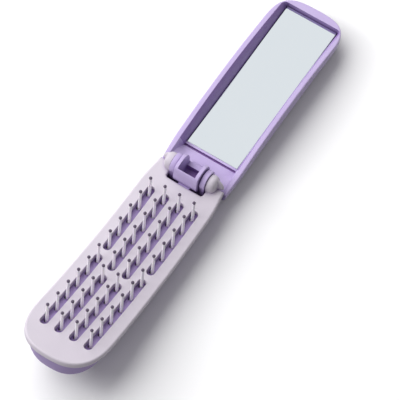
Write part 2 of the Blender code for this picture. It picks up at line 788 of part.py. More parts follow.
clear_scene()
parts = new_collection("pocket_mirror_comb")
cutters = new_collection("cutters")
lilac_plastic = new_material("lilac_plastic", LILAC, 0.35)
pale_plastic = new_material("pale_plastic", PALE_LILAC, 0.40)
tooth_plastic = new_material("tooth_plastic", TOOTH_WHITE, 0.35)
mirror_silver = new_material("mirror_silver", SILVER, 0.05, 1.0)
pin_steel = new_material("pin_steel", STEEL, 0.30, 1.0)
pad_foam = new_material("pad_foam", PAD_WHITE, 0.90)

make_comb_shell()
make_tooth_carrier()
make_tooth_bed()
make_comb_plate()
make_mirror_case()
make_mirror_pad()
make_mirror_glass()
make_hinge_pin("hinge_pin_left", -1)
make_hinge_pin("hinge_pin_right", 1)
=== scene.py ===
"""Looks of a folding pocket comb with a mirror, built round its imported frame.

Every piece is made in the row frame, in metres: X across the comb, +Y from the comb's free end to
the mirror's far end and +Z up. The comb half is shaped flat, as (x, along, height) with along
counted from the hinge, and a Bow then lays it on the curve that the real face has.
"""

import json
import logging
import math
from dataclasses import dataclass, field
from enum import Enum, IntEnum

import bmesh
import bpy
from mathutils import Matrix, Vector

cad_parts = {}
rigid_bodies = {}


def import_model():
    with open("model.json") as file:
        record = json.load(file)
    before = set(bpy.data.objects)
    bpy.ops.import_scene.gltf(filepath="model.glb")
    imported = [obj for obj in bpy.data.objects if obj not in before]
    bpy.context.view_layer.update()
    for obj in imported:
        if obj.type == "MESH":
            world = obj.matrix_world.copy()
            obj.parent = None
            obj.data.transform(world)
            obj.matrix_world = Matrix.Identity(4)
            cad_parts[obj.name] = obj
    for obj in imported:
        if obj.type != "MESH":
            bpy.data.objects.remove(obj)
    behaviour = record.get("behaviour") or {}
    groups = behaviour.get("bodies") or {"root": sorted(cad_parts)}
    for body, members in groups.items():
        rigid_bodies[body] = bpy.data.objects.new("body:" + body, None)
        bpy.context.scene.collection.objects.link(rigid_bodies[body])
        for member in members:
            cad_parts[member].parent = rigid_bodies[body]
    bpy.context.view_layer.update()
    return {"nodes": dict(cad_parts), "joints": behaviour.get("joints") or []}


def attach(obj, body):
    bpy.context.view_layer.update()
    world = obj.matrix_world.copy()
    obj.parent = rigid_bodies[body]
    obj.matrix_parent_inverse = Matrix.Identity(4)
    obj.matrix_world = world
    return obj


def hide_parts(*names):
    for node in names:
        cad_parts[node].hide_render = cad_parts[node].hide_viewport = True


LOG = logging.getLogger("pocket_mirror_comb")
Point = tuple[float, float, float]
Flat = tuple[float, float]
Colour = tuple[float, float, float]
Socket = bpy.types.NodeSocket
Material = bpy.types.Material
Object = bpy.types.Object
BMesh = bmesh.types.BMesh

# How far solids that are joined or cut run into each other, so that no two faces coincide.
OVERLAP = 0.0001
# How far a cutting tool reaches past what it cuts, and past the whole object.
CLEAR = 0.002
FAR = 0.3
MERGE = 1e-6
QUARTER = math.pi / 2
ROUND_SIDES = 96
SIDES = {"left": -1, "right": 1}


class Body(Enum):
    """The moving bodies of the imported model."""

    COMB = "comb_half"
    MIRROR = "mirror_half"


class Slot(Enum):
    """The material slots of the record."""

    LILAC = "lilac_plastic"
    PALE = "pale_plastic"
    TOOTH = "tooth_plastic"
    MIRROR = "mirror_silver"
    PIN = "pin_steel"
    PAD = "pad_foam"


class Carving(Enum):
    """What a tool does to a piece."""

    CUT = "DIFFERENCE"
    JOIN = "UNION"


class TrayFinish(IntEnum):
    """The tray's finishes, in the order of its material slots; the deep and wall ones are painted
    shade.
    """

    PLAIN = 0
    DEEP_SHADE = 1
    WALL = 2


# Finishes


class NodeSheet:
    """A thin helper that lays out the nodes of one tree."""

    def __init__(self, tree: bpy.types.NodeTree) -> None:
        """Takes the tree, which the sheet fills."""
        self.tree = tree

    def node(
        self, kind: str, settings: dict[str, object] | None = None, **inputs: object
    ) -> bpy.types.Node:
        """Adds a node, with its settings and inputs.

        Args:
            kind: The node's Blender type.
            settings: The node's own properties.
            **inputs: Values or sockets for inputs, by name with spaces as underscores.

        Returns:
            The new node.
        """
        made = self.tree.nodes.new(kind)
        for name, value in (settings or {}).items():
            setattr(made, name, value)
        for name, value in inputs.items():
            self.give(made, name.replace("_", " "), value)
        return made

    def give(self, node: bpy.types.Node, name: str | int, value: object) -> None:
        """Sets an input to a value, or links it where the value is a socket.

        Args:
            node: The node whose input it is.
            name: The input's name or number.
            value: A socket, a list of sockets, a number, a colour or a vector.
        """
        socket = node.inputs[name]
        for one in value if isinstance(value, list) else [value]:
            if isinstance(one, Socket):
                self.tree.links.new(one, socket)
            else:
                socket.default_value = one


class ShaderSheet(NodeSheet):
    """Lays out the shader nodes of a material or a world."""

    def __init__(self, owner: Material | bpy.types.World) -> None:
        """Starts with an empty tree.

        Args:
            owner: The new material or world.
        """
        owner.use_nodes = True
        super().__init__(owner.node_tree)
        self.owner = owner
        self.tree.nodes.clear()
        kind = "World" if isinstance(owner, bpy.types.World) else "Material"
        self.output = self.node(f"ShaderNodeOutput{kind}")

    def spot(self) -> Socket:
        """Object coordinates."""
        return self.node("ShaderNodeTexCoord").outputs["Object"]

    def noise(self, scale: float, detail: float = 2.0, stretch: Point | None = None) -> Socket:
        """Noise on object coordinates, from 0 to 1.

        Args:
            scale: How many cells there are in a metre.
            detail: How many finer layers are added.
            stretch: Factors for the coordinates, where it isn't even.

        Returns:
            The factor's socket.
        """
        place = self.spot()
        if stretch:
            place = self.node("ShaderNodeMapping", Vector=place, Scale=stretch).outputs[0]
        return self.node("ShaderNodeTexNoise", Vector=place, Scale=scale, Detail=detail).outputs[0]

    def ramp(self, factor: Socket, stops: dict[float, Colour]) -> Socket:
        """A colour ramp.

        Args:
            factor: The socket that drives it.
            stops: Colours by position.

        Returns:
            The colour's socket.
        """
        made = self.node("ShaderNodeValToRGB", Fac=factor)
        elements = made.color_ramp.elements
        for element, (position, colour) in zip(elements, sorted(stops.items())):
            element.position = position
            element.color = (*colour, 1.0)
        return made.outputs["Color"]

    def span(self, factor: Socket, low: float, high: float) -> Socket:
        """Maps 0 to 1 onto low to high.

        Args:
            factor: The socket to map.
            low: What 0 becomes.
            high: What 1 becomes.

        Returns:
            The mapped socket.
        """
        return self.node("ShaderNodeMapRange", Value=factor, To_Min=low, To_Max=high).outputs[0]

    def bump(self, height: Socket, depth: float, under: Socket | None = None) -> Socket:
        """A bump whose depth is in metres.

        Args:
            height: The height's socket.
            depth: How far a height of 1 stands out.
            under: A normal to build on.

        Returns:
            The normal's socket.
        """
        made = self.node("ShaderNodeBump", Height=height, Distance=depth, Strength=1.0)
        if under:
            self.give(made, "Normal", under)
        return made.outputs[0]

    def seen(self) -> Socket:
        """Tells rays that show a thing from those that only carry its bounced light.

        Returns:
            The socket: 1 for camera and glossy rays, else 0.
        """
        rays = self.node("ShaderNodeLightPath")
        seen = self.node("ShaderNodeMath", {"operation": "MAXIMUM"})
        self.give(seen, 0, rays.outputs["Is Camera Ray"])
        self.give(seen, 1, rays.outputs["Is Glossy Ray"])
        return seen.outputs[0]

    def finish(self, shader: bpy.types.Node) -> Material | bpy.types.World:
        """Links the shader to the output and returns the owner."""
        self.give(self.output, "Surface", shader.outputs[0])
        return self.owner


@dataclass(frozen=True)
class MouldedPlastic:
    """Injection-moulded plastic: fine spark grain, slow sink marks and rubbed patches.

    The colour darkens towards painted_shade in hollows no wider than painted_shade_reach, as
    painted shade from ambient occlusion, and stays as it is where that reach is 0.
    """

    name: str
    colour: Colour
    rubbed: Colour
    roughness: float
    mottle_scale: float = 85.0
    rub_scale: float = 420.0
    rub_range: Flat = (-0.06, 0.08)
    grain_scale: float = 9000.0
    grain_depth: float = 0.000004
    sink_scale: float = 110.0
    sink_depth: float = 0.00006
    coat: float = 0.0
    # Painted shade in hollows: the colour they darken towards, and how wide a hollow may be.
    painted_shade: Colour = (0.5, 0.5, 0.5)
    painted_shade_reach: float = 0.0
    scatter: float = 0.0
    scatter_radius: Point = (0.0016, 0.0011, 0.0018)

    def base(self, sheet: ShaderSheet) -> Socket:
        """Lays out the mottled colour and its painted shade in hollows.

        Args:
            sheet: The material's sheet.

        Returns:
            The colour's socket.
        """
        mottle = sheet.noise(self.mottle_scale, 3.0)
        colour = sheet.ramp(mottle, {0.30: self.colour, 0.78: self.rubbed})
        if not self.painted_shade_reach:
            return colour
        reach = self.painted_shade_reach
        # Painted shade: ambient occlusion mixes the colour towards painted_shade in hollows.
        openness = sheet.node("ShaderNodeAmbientOcclusion", {"samples": 8}, Distance=reach)
        shaded = sheet.node("ShaderNodeMix", {"data_type": "RGBA"})
        for number, value in ((0, openness.outputs["AO"]), (6, (*self.painted_shade, 1.0)), (7, colour)):
            sheet.give(shaded, number, value)
        return shaded.outputs[2]

    def material(self) -> Material:
        """Builds the node material.

        Returns:
            The material.
        """
        sheet = ShaderSheet(bpy.data.materials.new(self.name))
        colour = self.base(sheet)
        grain = sheet.noise(self.grain_scale, 2.0)
        sink = sheet.noise(self.sink_scale, 1.0)
        rub = sheet.noise(self.rub_scale, 4.0)
        shader = sheet.node(
            "ShaderNodeBsdfPrincipled",
            Base_Color=colour,
            Roughness=sheet.span(rub, *(self.roughness + end for end in self.rub_range)),
            Normal=sheet.bump(grain, self.grain_depth, sheet.bump(sink, self.sink_depth)),
            IOR=1.50,
            Coat_Weight=self.coat,
            Coat_Roughness=0.18,
            Subsurface_Weight=self.scatter,
            Subsurface_Radius=self.scatter_radius,
            Subsurface_Scale=1.0,
        )
        return sheet.finish(shader)


@dataclass(frozen=True)
class SilveredGlass:
    """Mirror glass with a faint haze of fingerprints."""

    name: str
    silver: Colour
    haze: Colour
    haze_scale: float = 38.0
    wipe_scale: float = 160.0
    rough_range: Flat = (0.03, 0.12)

    def material(self) -> Material:
        """Builds the node material.

        Returns:
            The material.
        """
        sheet = ShaderSheet(bpy.data.materials.new(self.name))
        smear = sheet.noise(self.haze_scale, 3.0)
        shader = sheet.node(
            "ShaderNodeBsdfPrincipled",
            Base_Color=sheet.ramp(smear, {0.30: self.haze, 0.75: self.silver}),
            Roughness=sheet.span(sheet.noise(self.wipe_scale, 5.0), *self.rough_range),
            Metallic=1.0,
        )
        return sheet.finish(shader)


@dataclass(frozen=True)
class DrawnSteel:
    """Steel wire or rod with fine lines along its draw direction."""

    name: str
    colour: Colour
    rough_range: Flat
    lines: Point
    line_scale: float = 900.0
    line_depth: float = 0.000006

    def material(self) -> Material:
        """Builds the node material.

        Returns:
            The material.
        """
        sheet = ShaderSheet(bpy.data.materials.new(self.name))
        streak = sheet.noise(self.line_scale, stretch=self.lines)
        dark = tuple(c * 0.75 for c in self.colour)
        shader = sheet.node(
            "ShaderNodeBsdfPrincipled",
            Base_Color=sheet.ramp(streak, {0.35: dark, 0.65: self.colour}),
            Roughness=sheet.span(streak, *self.rough_range),
            Normal=sheet.bump(streak, self.line_depth),
            Metallic=1.0,
        )
        return sheet.finish(shader)


@dataclass(frozen=True)
class CellFoam:
    """Closed-cell foam tape."""

    name: str
    colour: Colour
    cell_scale: float = 3200.0
    cell_depth: float = 0.00004

    def material(self) -> Material:
        """Builds the node material.

        Returns:
            The material.
        """
        sheet = ShaderSheet(bpy.data.materials.new(self.name))
        foam = sheet.node("ShaderNodeTexVoronoi", Vector=sheet.spot(), Scale=self.cell_scale)
        cells = foam.outputs["Distance"]
        dark = tuple(c * 0.8 for c in self.colour)
        shader = sheet.node(
            "ShaderNodeBsdfPrincipled",
            Base_Color=sheet.ramp(cells, {0.1: self.colour, 0.8: dark}),
            Normal=sheet.bump(cells, self.cell_depth),
            Roughness=0.9,
        )
        return sheet.finish(shader)


@dataclass(frozen=True)
class Finishes:
    """Every finish of the object, made once."""

    lilac: Material
    # shell: the lilac painted darker as shade, for the comb's hollow back.
    shell: Material
    # deep: the lilac painted dark as shade in the tray's window and groove.
    deep: Material
    # The wall finish: the lilac painted darker as shade on the tray's inner walls.
    wall_shade: Material
    pale: Material
    tooth: Material
    # tip: the dark ball tips, and painted shade on the carrier under the bed's holes.
    tip: Material
    mirror: Material
    edge: Material
    pin: Material
    pad: Material

    @classmethod
    def make(cls) -> "Finishes":
        """Makes the object's materials.

        Returns:
            All of them.
        """
        # Lilac, with painted shade towards dark purple in its hollows.
        lilac = MouldedPlastic(
            "lilac_plastic_moulded",
            (0.512, 0.415, 0.685),
            (0.542, 0.447, 0.710),
            0.36,
            coat=0.12,
            painted_shade=(0.150, 0.070, 0.290),
            painted_shade_reach=0.0060,
        )
        # The comb's shell: the lilac painted darker as shade, with painted shade deeper still in
        # its hollows.
        shell = MouldedPlastic(
            "lilac_plastic_shell_painted_shade",
            (0.325, 0.232, 0.490),
            (0.350, 0.253, 0.520),
            0.50,
            painted_shade=(0.085, 0.040, 0.160),
            painted_shade_reach=0.0060,
        )
        # Painted shade: a dark lilac for the tray's window and groove, where shade falls.
        deep = MouldedPlastic(
            "lilac_plastic_deep_painted_shade", (0.240, 0.135, 0.360), (0.270, 0.155, 0.400), 0.50
        )
        # Painted shade: a darker lilac for the tray's inner walls round the glass, with painted
        # shade in their hollows.
        wall_shade = MouldedPlastic(
            "lilac_plastic_wall_painted_shade",
            (0.310, 0.205, 0.480),
            (0.330, 0.222, 0.500),
            0.42,
            painted_shade=(0.110, 0.055, 0.220),
            painted_shade_reach=0.0060,
        )
        # Pale plate plastic, with painted shade in its narrow hollows such as the slots.
        pale = MouldedPlastic(
            "pale_plastic_matt",
            (0.592, 0.546, 0.612),
            (0.620, 0.572, 0.636),
            0.52,
            painted_shade=(0.300, 0.220, 0.400),
            painted_shade_reach=0.0018,
        )
        tooth = MouldedPlastic(
            "tooth_plastic_smooth",
            (0.970, 0.925, 0.990),
            (0.980, 0.940, 0.995),
            0.30,
            grain_depth=0.000001,
            sink_depth=0.00001,
            scatter=0.25,
            scatter_radius=(0.0005, 0.0004, 0.0006),
        )
        # Dark ball tips; the tooth carrier wears it too, as painted shade under the bed's holes.
        tip = MouldedPlastic(
            "tooth_tip_dark_and_hole_shade",
            (0.085, 0.062, 0.105),
            (0.125, 0.095, 0.150),
            0.42,
            grain_depth=0.000002,
        )
        mirror = SilveredGlass("mirror_silver_hazed", (0.880, 0.945, 0.995), (0.895, 0.955, 1.0))
        edge = MouldedPlastic(
            "glass_edge", (0.640, 0.640, 0.700), (0.700, 0.700, 0.760), 0.40, grain_depth=0.00001
        )
        pin = DrawnSteel("pin_steel_turned", (0.62, 0.62, 0.64), (0.20, 0.38), (0.1, 4.0, 4.0))
        pad = CellFoam("pad_foam_cells", (0.80, 0.80, 0.80))
        made = (lilac, shell, deep, wall_shade, pale, tooth, tip, mirror, edge, pin, pad)
        return cls(*(finish.material() for finish in made))


# Shaping


@dataclass(frozen=True)
class Bow:
    """The curve of the comb's face, and the same curve turned over for the mirror's rim."""

    low_to_hinge: float
    hinge_z: float
    closing: float
    radius: float = 0.271
    face_under_hinge: float = 0.0032
    closed_gap: float = 0.0089

    @property
    def low_angle(self) -> float:
        """Angle from the low point to the hinge."""
        return math.asin(self.low_to_hinge / self.radius)

    @property
    def centre_z(self) -> float:
        """Height of the bow's centre."""
        return self.hinge_z - self.face_under_hinge + self.radius

    def place(self, x: float, along: float, height: float) -> Vector:
        """The row-frame place of a flat point.

        Args:
            x: Across the comb.
            along: From the hinge towards the free end.
            height: Over the face.

        Returns:
            The point.
        """
        angle = self.slope(along)
        reach = self.radius - height
        return Vector((x, -reach * math.sin(angle), self.centre_z - reach * math.cos(angle)))

    def slope(self, along: float) -> float:
        """Slope of the face at a distance from the hinge, as an angle."""
        return along / self.radius - self.low_angle

    def rim_z(self, along: float) -> float:
        """Height of the mirror's rim, which lies evenly over the comb's face when closed.

        Args:
            along: Distance from the hinge, towards the mirror's far end.

        Returns:
            The height.
        """
        y, z = -self.low_to_hinge, self.centre_z - self.hinge_z
        turn_cos, turn_sin = math.cos(self.closing), math.sin(self.closing)
        centre_y = y * turn_cos + z * turn_sin
        centre_z = z * turn_cos - y * turn_sin
        reach = self.radius - self.closed_gap
        return self.hinge_z + centre_z + math.sqrt(reach**2 - (along - centre_y) ** 2)


def held(share: float) -> float:
    """A share held between 0 and 1."""
    return min(max(share, 0.0), 1.0)


def eased(share: float) -> float:
    """A held share that leaves and arrives softly."""
    kept = held(share)
    return kept * kept * (3 - 2 * kept)


def spaced(start: float, end: float, steps: int) -> list[float]:
    """Evenly spaced values, with both ends."""
    return [start + (end - start) * i / steps for i in range(steps + 1)]


def arc(centre: Flat, radii: Flat, start: float, end: float, steps: int) -> list[Flat]:
    """Points along a part of an ellipse, with both ends.

    Args:
        centre: The ellipse's centre.
        radii: Its two radii.
        start: The angle of the first point.
        end: The angle of the last point.
        steps: How many spans there are.

    Returns:
        The points.
    """
    (x, y), (wide, high) = centre, radii
    return [(x + wide * math.cos(a), y + high * math.sin(a)) for a in spaced(start, end, steps)]


def circle(centre: Flat, radius: float, sides: int) -> list[Flat]:
    """The corners of a regular polygon."""
    return arc(centre, (radius, radius), 0.0, 2 * math.pi, sides)[:-1]


def smooth_steps(points: list[Flat], between: int) -> list[Flat]:
    """Adds points between the given ones on a Catmull-Rom curve through them.

    Args:
        points: The points to pass through.
        between: How many spans each gap is split into.

    Returns:
        The finer list.
    """

    def on_curve(a: float, b: float, c: float, d: float, t: float) -> float:
        """One coordinate at a share t of the way from b to c."""
        bend, twist = 2 * a - 5 * b + 4 * c - d, 3 * b - a - 3 * c + d
        return 0.5 * (2 * b + (c - a) * t + bend * t**2 + twist * t**3)

    padded = [points[0], *points, points[-1]]
    made = []
    for four in zip(padded, padded[1:], padded[2:], padded[3:]):
        for step in range(between):
            made.append(tuple(on_curve(*along, step / between) for along in zip(*four)))
    return [*made, points[-1]]


def blunt_end(half_width: float, start: float, end: float, power: float, steps: int) -> list[Flat]:
    """Points of a blunt rounded end.

    Args:
        half_width: Half the width at the start.
        start: Where the straight side ends.
        end: Where the tip is.
        power: How square the end is.
        steps: How many spans it has.

    Returns:
        Points from the side round to the middle.
    """
    points = []
    for angle in spaced(0.0, QUARTER, steps)[:-1]:
        x = half_width * math.cos(angle) ** (2 / power)
        points.append((x, start + (end - start) * math.sin(angle) ** (2 / power)))
    return [*points, (0.0, end)]


def both_sides(side: list[Flat]) -> list[Flat]:
    """A closed outline from its +X side, whose last point may lie in the middle."""
    mirrored = side[:-1] if abs(side[-1][0]) < 1e-9 else side
    return side + [(-x, y) for x, y in reversed(mirrored)]


def skin(rings: list[list[Point]], bm: BMesh) -> tuple[list[bmesh.types.BMVert], ...]:
    """Joins rings of equally many points with faces.

    Args:
        rings: The rings in order.
        bm: The bmesh that they are added to.

    Returns:
        The points of the first ring and of the last one.
    """
    loops = [[bm.verts.new(point) for point in ring] for ring in rings]
    count = len(loops[0])
    for lower, upper in zip(loops, loops[1:]):
        for i in range(count):
            j = (i + 1) % count
            bm.faces.new((lower[i], lower[j], upper[j], upper[i]))
    return loops[0], loops[-1]


def loft(rings: list[list[Point]]) -> BMesh:
    """Joins rings and closes each end with strips across it, which suits bowed ends.

    Args:
        rings: The rings, which run from +X to -X.

    Returns:
        The closed bmesh.
    """
    bm = bmesh.new()
    for loop in skin(rings, bm):
        for i in range((len(loop) - 1) // 2):
            corners = (loop[i], loop[i + 1], loop[-i - 2], loop[-i - 1])
            bm.faces.new(list(dict.fromkeys(corners)))
    return bm


def tube(rings: list[list[Point]], bm: BMesh | None = None) -> BMesh:
    """Joins rings and closes each end with one face.

    Args:
        rings: The rings in order.
        bm: The bmesh that they are added to, or None for a new one.

    Returns:
        The closed bmesh.
    """
    bm = bm or bmesh.new()
    for loop in skin(rings, bm):
        bm.faces.new(loop)
    return bm


def upright(x: float, hinge: Vector, outline: list[Flat]) -> list[Point]:
    """A ring square to the hinge axis, from (from the axis along Y, height) points."""
    return [(x, hinge.y + y, z) for y, z in outline]


def turned(profile: list[Flat], sides: int, hinge: Vector) -> BMesh:
    """Turns a profile round the hinge axis.

    Args:
        profile: (x, radius) from one end to the other.
        sides: How many faces go round.
        hinge: A point on the axis.

    Returns:
        The closed bmesh.
    """
    return tube([upright(x, hinge, circle((0.0, hinge.z), r, sides)) for x, r in profile])


def block(low: Point, high: Point) -> BMesh:
    """A box to cut, join or bevel.

    Args:
        low: Its lowest corner.
        high: Its highest corner.

    Returns:
        The closed bmesh.
    """
    bm = bmesh.new()
    bmesh.ops.create_cube(bm, size=1.0)
    bmesh.ops.scale(bm, vec=Vector(high) - Vector(low), verts=bm.verts)
    bmesh.ops.translate(bm, vec=(Vector(low) + Vector(high)) / 2, verts=bm.verts)
    return bm


def placed(name: str, data: bpy.types.ID) -> Object:
    """Makes an object and links it to the scene.

    Args:
        name: The object's name.
        data: Its mesh, light or camera.

    Returns:
        The object.
    """
    obj = bpy.data.objects.new(name, data)
    bpy.context.scene.collection.objects.link(obj)
    return obj


def set_sharp(obj: Object, degrees: float) -> None:
    """Shades the edges past an angle sharp."""
    obj.data.set_sharp_from_angle(angle=math.radians(degrees))


def piece(bm: BMesh, name: str, material: Material, sharp: float = 35.0) -> Object:
    """Makes an object of a bmesh, with merged points, outward faces and smooth shading.

    Args:
        bm: The bmesh, which is freed.
        name: The object's name.
        material: Its material.
        sharp: The angle in degrees past which an edge shades sharp.

    Returns:
        The object.
    """
    bmesh.ops.remove_doubles(bm, verts=bm.verts, dist=MERGE)
    bmesh.ops.recalc_face_normals(bm, faces=bm.faces)
    mesh = bpy.data.meshes.new(name)
    bm.to_mesh(mesh)
    bm.free()
    obj = placed(name, mesh)
    mesh.materials.append(material)
    mesh.shade_smooth()
    set_sharp(obj, sharp)
    return obj


def opened(mesh: bpy.types.Mesh) -> BMesh:
    """Opens a mesh for editing.

    Args:
        mesh: The mesh, which stays as it is.

    Returns:
        Its bmesh.
    """
    bm = bmesh.new()
    bm.from_mesh(mesh)
    return bm


def keep_result(obj: Object, modifier: bpy.types.Modifier) -> None:
    """Makes a modifier's result the object's own plain mesh and takes the modifier off.

    Args:
        obj: The object.
        modifier: Its modifier, with all settings made.
    """
    bpy.context.view_layer.update()
    graph = bpy.context.evaluated_depsgraph_get()
    mesh = bpy.data.meshes.new_from_object(obj.evaluated_get(graph))
    obj.modifiers.remove(modifier)
    obj.data = mesh


def carve(obj: Object, tool: BMesh, way: Carving = Carving.CUT) -> None:
    """Cuts a tool from an object, or joins it on.

    Args:
        obj: The object.
        tool: The tool's bmesh, which is freed.
        way: Whether the tool is cut out or joined on.
    """
    other = piece(tool, "tool", obj.data.materials[0])
    modifier = obj.modifiers.new("carve", "BOOLEAN")
    modifier.object, modifier.operation, modifier.solver = other, way.value, "EXACT"
    keep_result(obj, modifier)
    bpy.data.objects.remove(other)


def drop_flaps(obj: Object) -> None:
    """Takes out the back-to-back face pairs that a Boolean can leave.

    Args:
        obj: The object.
    """
    bm = opened(obj.data)
    bmesh.ops.triangulate(bm, faces=[face for face in bm.faces if len(face.verts) > 4])
    found: dict[frozenset[bmesh.types.BMVert], list[bmesh.types.BMFace]] = {}
    for face in bm.faces:
        found.setdefault(frozenset(face.verts), []).append(face)
    flaps = [face for faces in found.values() if len(faces) > 1 for face in faces]
    bmesh.ops.delete(bm, geom=flaps, context="FACES")
    bm.to_mesh(obj.data)
    bm.free()


def weigh_normals(obj: Object) -> None:
    """Gives large flat faces their own shading beside small round ones."""
    modifier = obj.modifiers.new("weighted", "WEIGHTED_NORMAL")
    modifier.keep_sharp, modifier.weight = True, 80


def settle(obj: Object, body: Body, slot: Slot, *nodes: str) -> Object:
    """Tells the frame what a finished piece rides on and stands for.

    Args:
        obj: The piece.
        body: The body that it moves with.
        slot: The record's material slot; not used.
        *nodes: The CAD nodes that it replaces.

    Returns:
        The piece.
    """
    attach(obj, body.value)
    if nodes:
        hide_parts(*nodes)
    LOG.info("%s: %d faces, rides on %s", obj.name, len(obj.data.polygons), body.value)
    return obj


# Comb half


@dataclass
class BowedSheet:
    """A bowed plate with rounded outer edges and holes with eased rims.

    The outlines are (x, -along), and top is the height of its top over the face.
    """

    name: str
    bow: Bow
    material: Material
    top: float
    thick: float
    rounding: float
    outline: list[Flat]
    holes: list[list[Flat]] = field(default_factory=list)
    hole_round: float = 0.0003
    strip: float = 0.0020

    def drawn(self) -> Object:
        """Draws the flat plate as a bevelled curve.

        Returns:
            The plate, whose middle lies at 0.
        """
        curve = bpy.data.curves.new(self.name, "CURVE")
        curve.dimensions = "2D"
        curve.fill_mode = "BOTH"
        curve.extrude = self.thick / 2 - self.rounding
        curve.bevel_depth = self.rounding
        curve.bevel_resolution = 4
        curve.offset = -self.rounding
        spline = curve.splines.new("POLY")
        spline.points.add(len(self.outline) - 1)
        spline.use_cyclic_u = True
        for point, (x, y) in zip(spline.points, self.outline):
            point.co = (x, y, 0, 1)
        drawing = bpy.data.objects.new(self.name, curve)
        mesh = bpy.data.meshes.new_from_object(drawing)
        bpy.data.objects.remove(drawing)
        return piece(opened(mesh), self.name, self.material)

    def pierce(self, flat: Object) -> None:
        """Cuts the holes.

        Args:
            flat: The flat plate.
        """
        tools = bmesh.new()
        for hole in self.holes:
            tube([[(x, y, z) for x, y in hole] for z in (-self.thick, self.thick)], tools)
        carve(flat, tools)

    def bowed(self, flat: Object) -> Object:
        """Eases the holes' rims and lays the plate on the bow.

        Args:
            flat: The flat plate, which is removed.

        Returns:
            The finished piece.
        """
        bm = opened(flat.data)
        bpy.data.objects.remove(flat)
        half = self.thick / 2
        rims = [
            edge
            for edge in bm.edges
            if all(abs(vertex.co.z - half) < MERGE for vertex in edge.verts)
            and edge.calc_face_angle(0.0) > 1.0
        ]
        ease = min(self.hole_round, self.thick / 4)
        bmesh.ops.bevel(bm, geom=rims, offset=ease, segments=3, affect="EDGES", clamp_overlap=True)
        for i in range(int(-min(y for _, y in self.outline) / self.strip) + 1):
            everything = bm.verts[:] + bm.edges[:] + bm.faces[:]
            at, across = (0, -i * self.strip, 0), (0, 1, 0)
            bmesh.ops.bisect_plane(bm, geom=everything, dist=MERGE, plane_co=at, plane_no=across)
        for vertex in bm.verts:
            height = vertex.co.z + self.top - half
            vertex.co = self.bow.place(vertex.co.x, -vertex.co.y, height)
        return piece(bm, self.name, self.material, 40)

    def build(self) -> Object:
        """Builds the plate.

        Returns:
            The piece.
        """
        flat = self.drawn()
        if self.holes:
            self.pierce(flat)
        return self.bowed(flat)


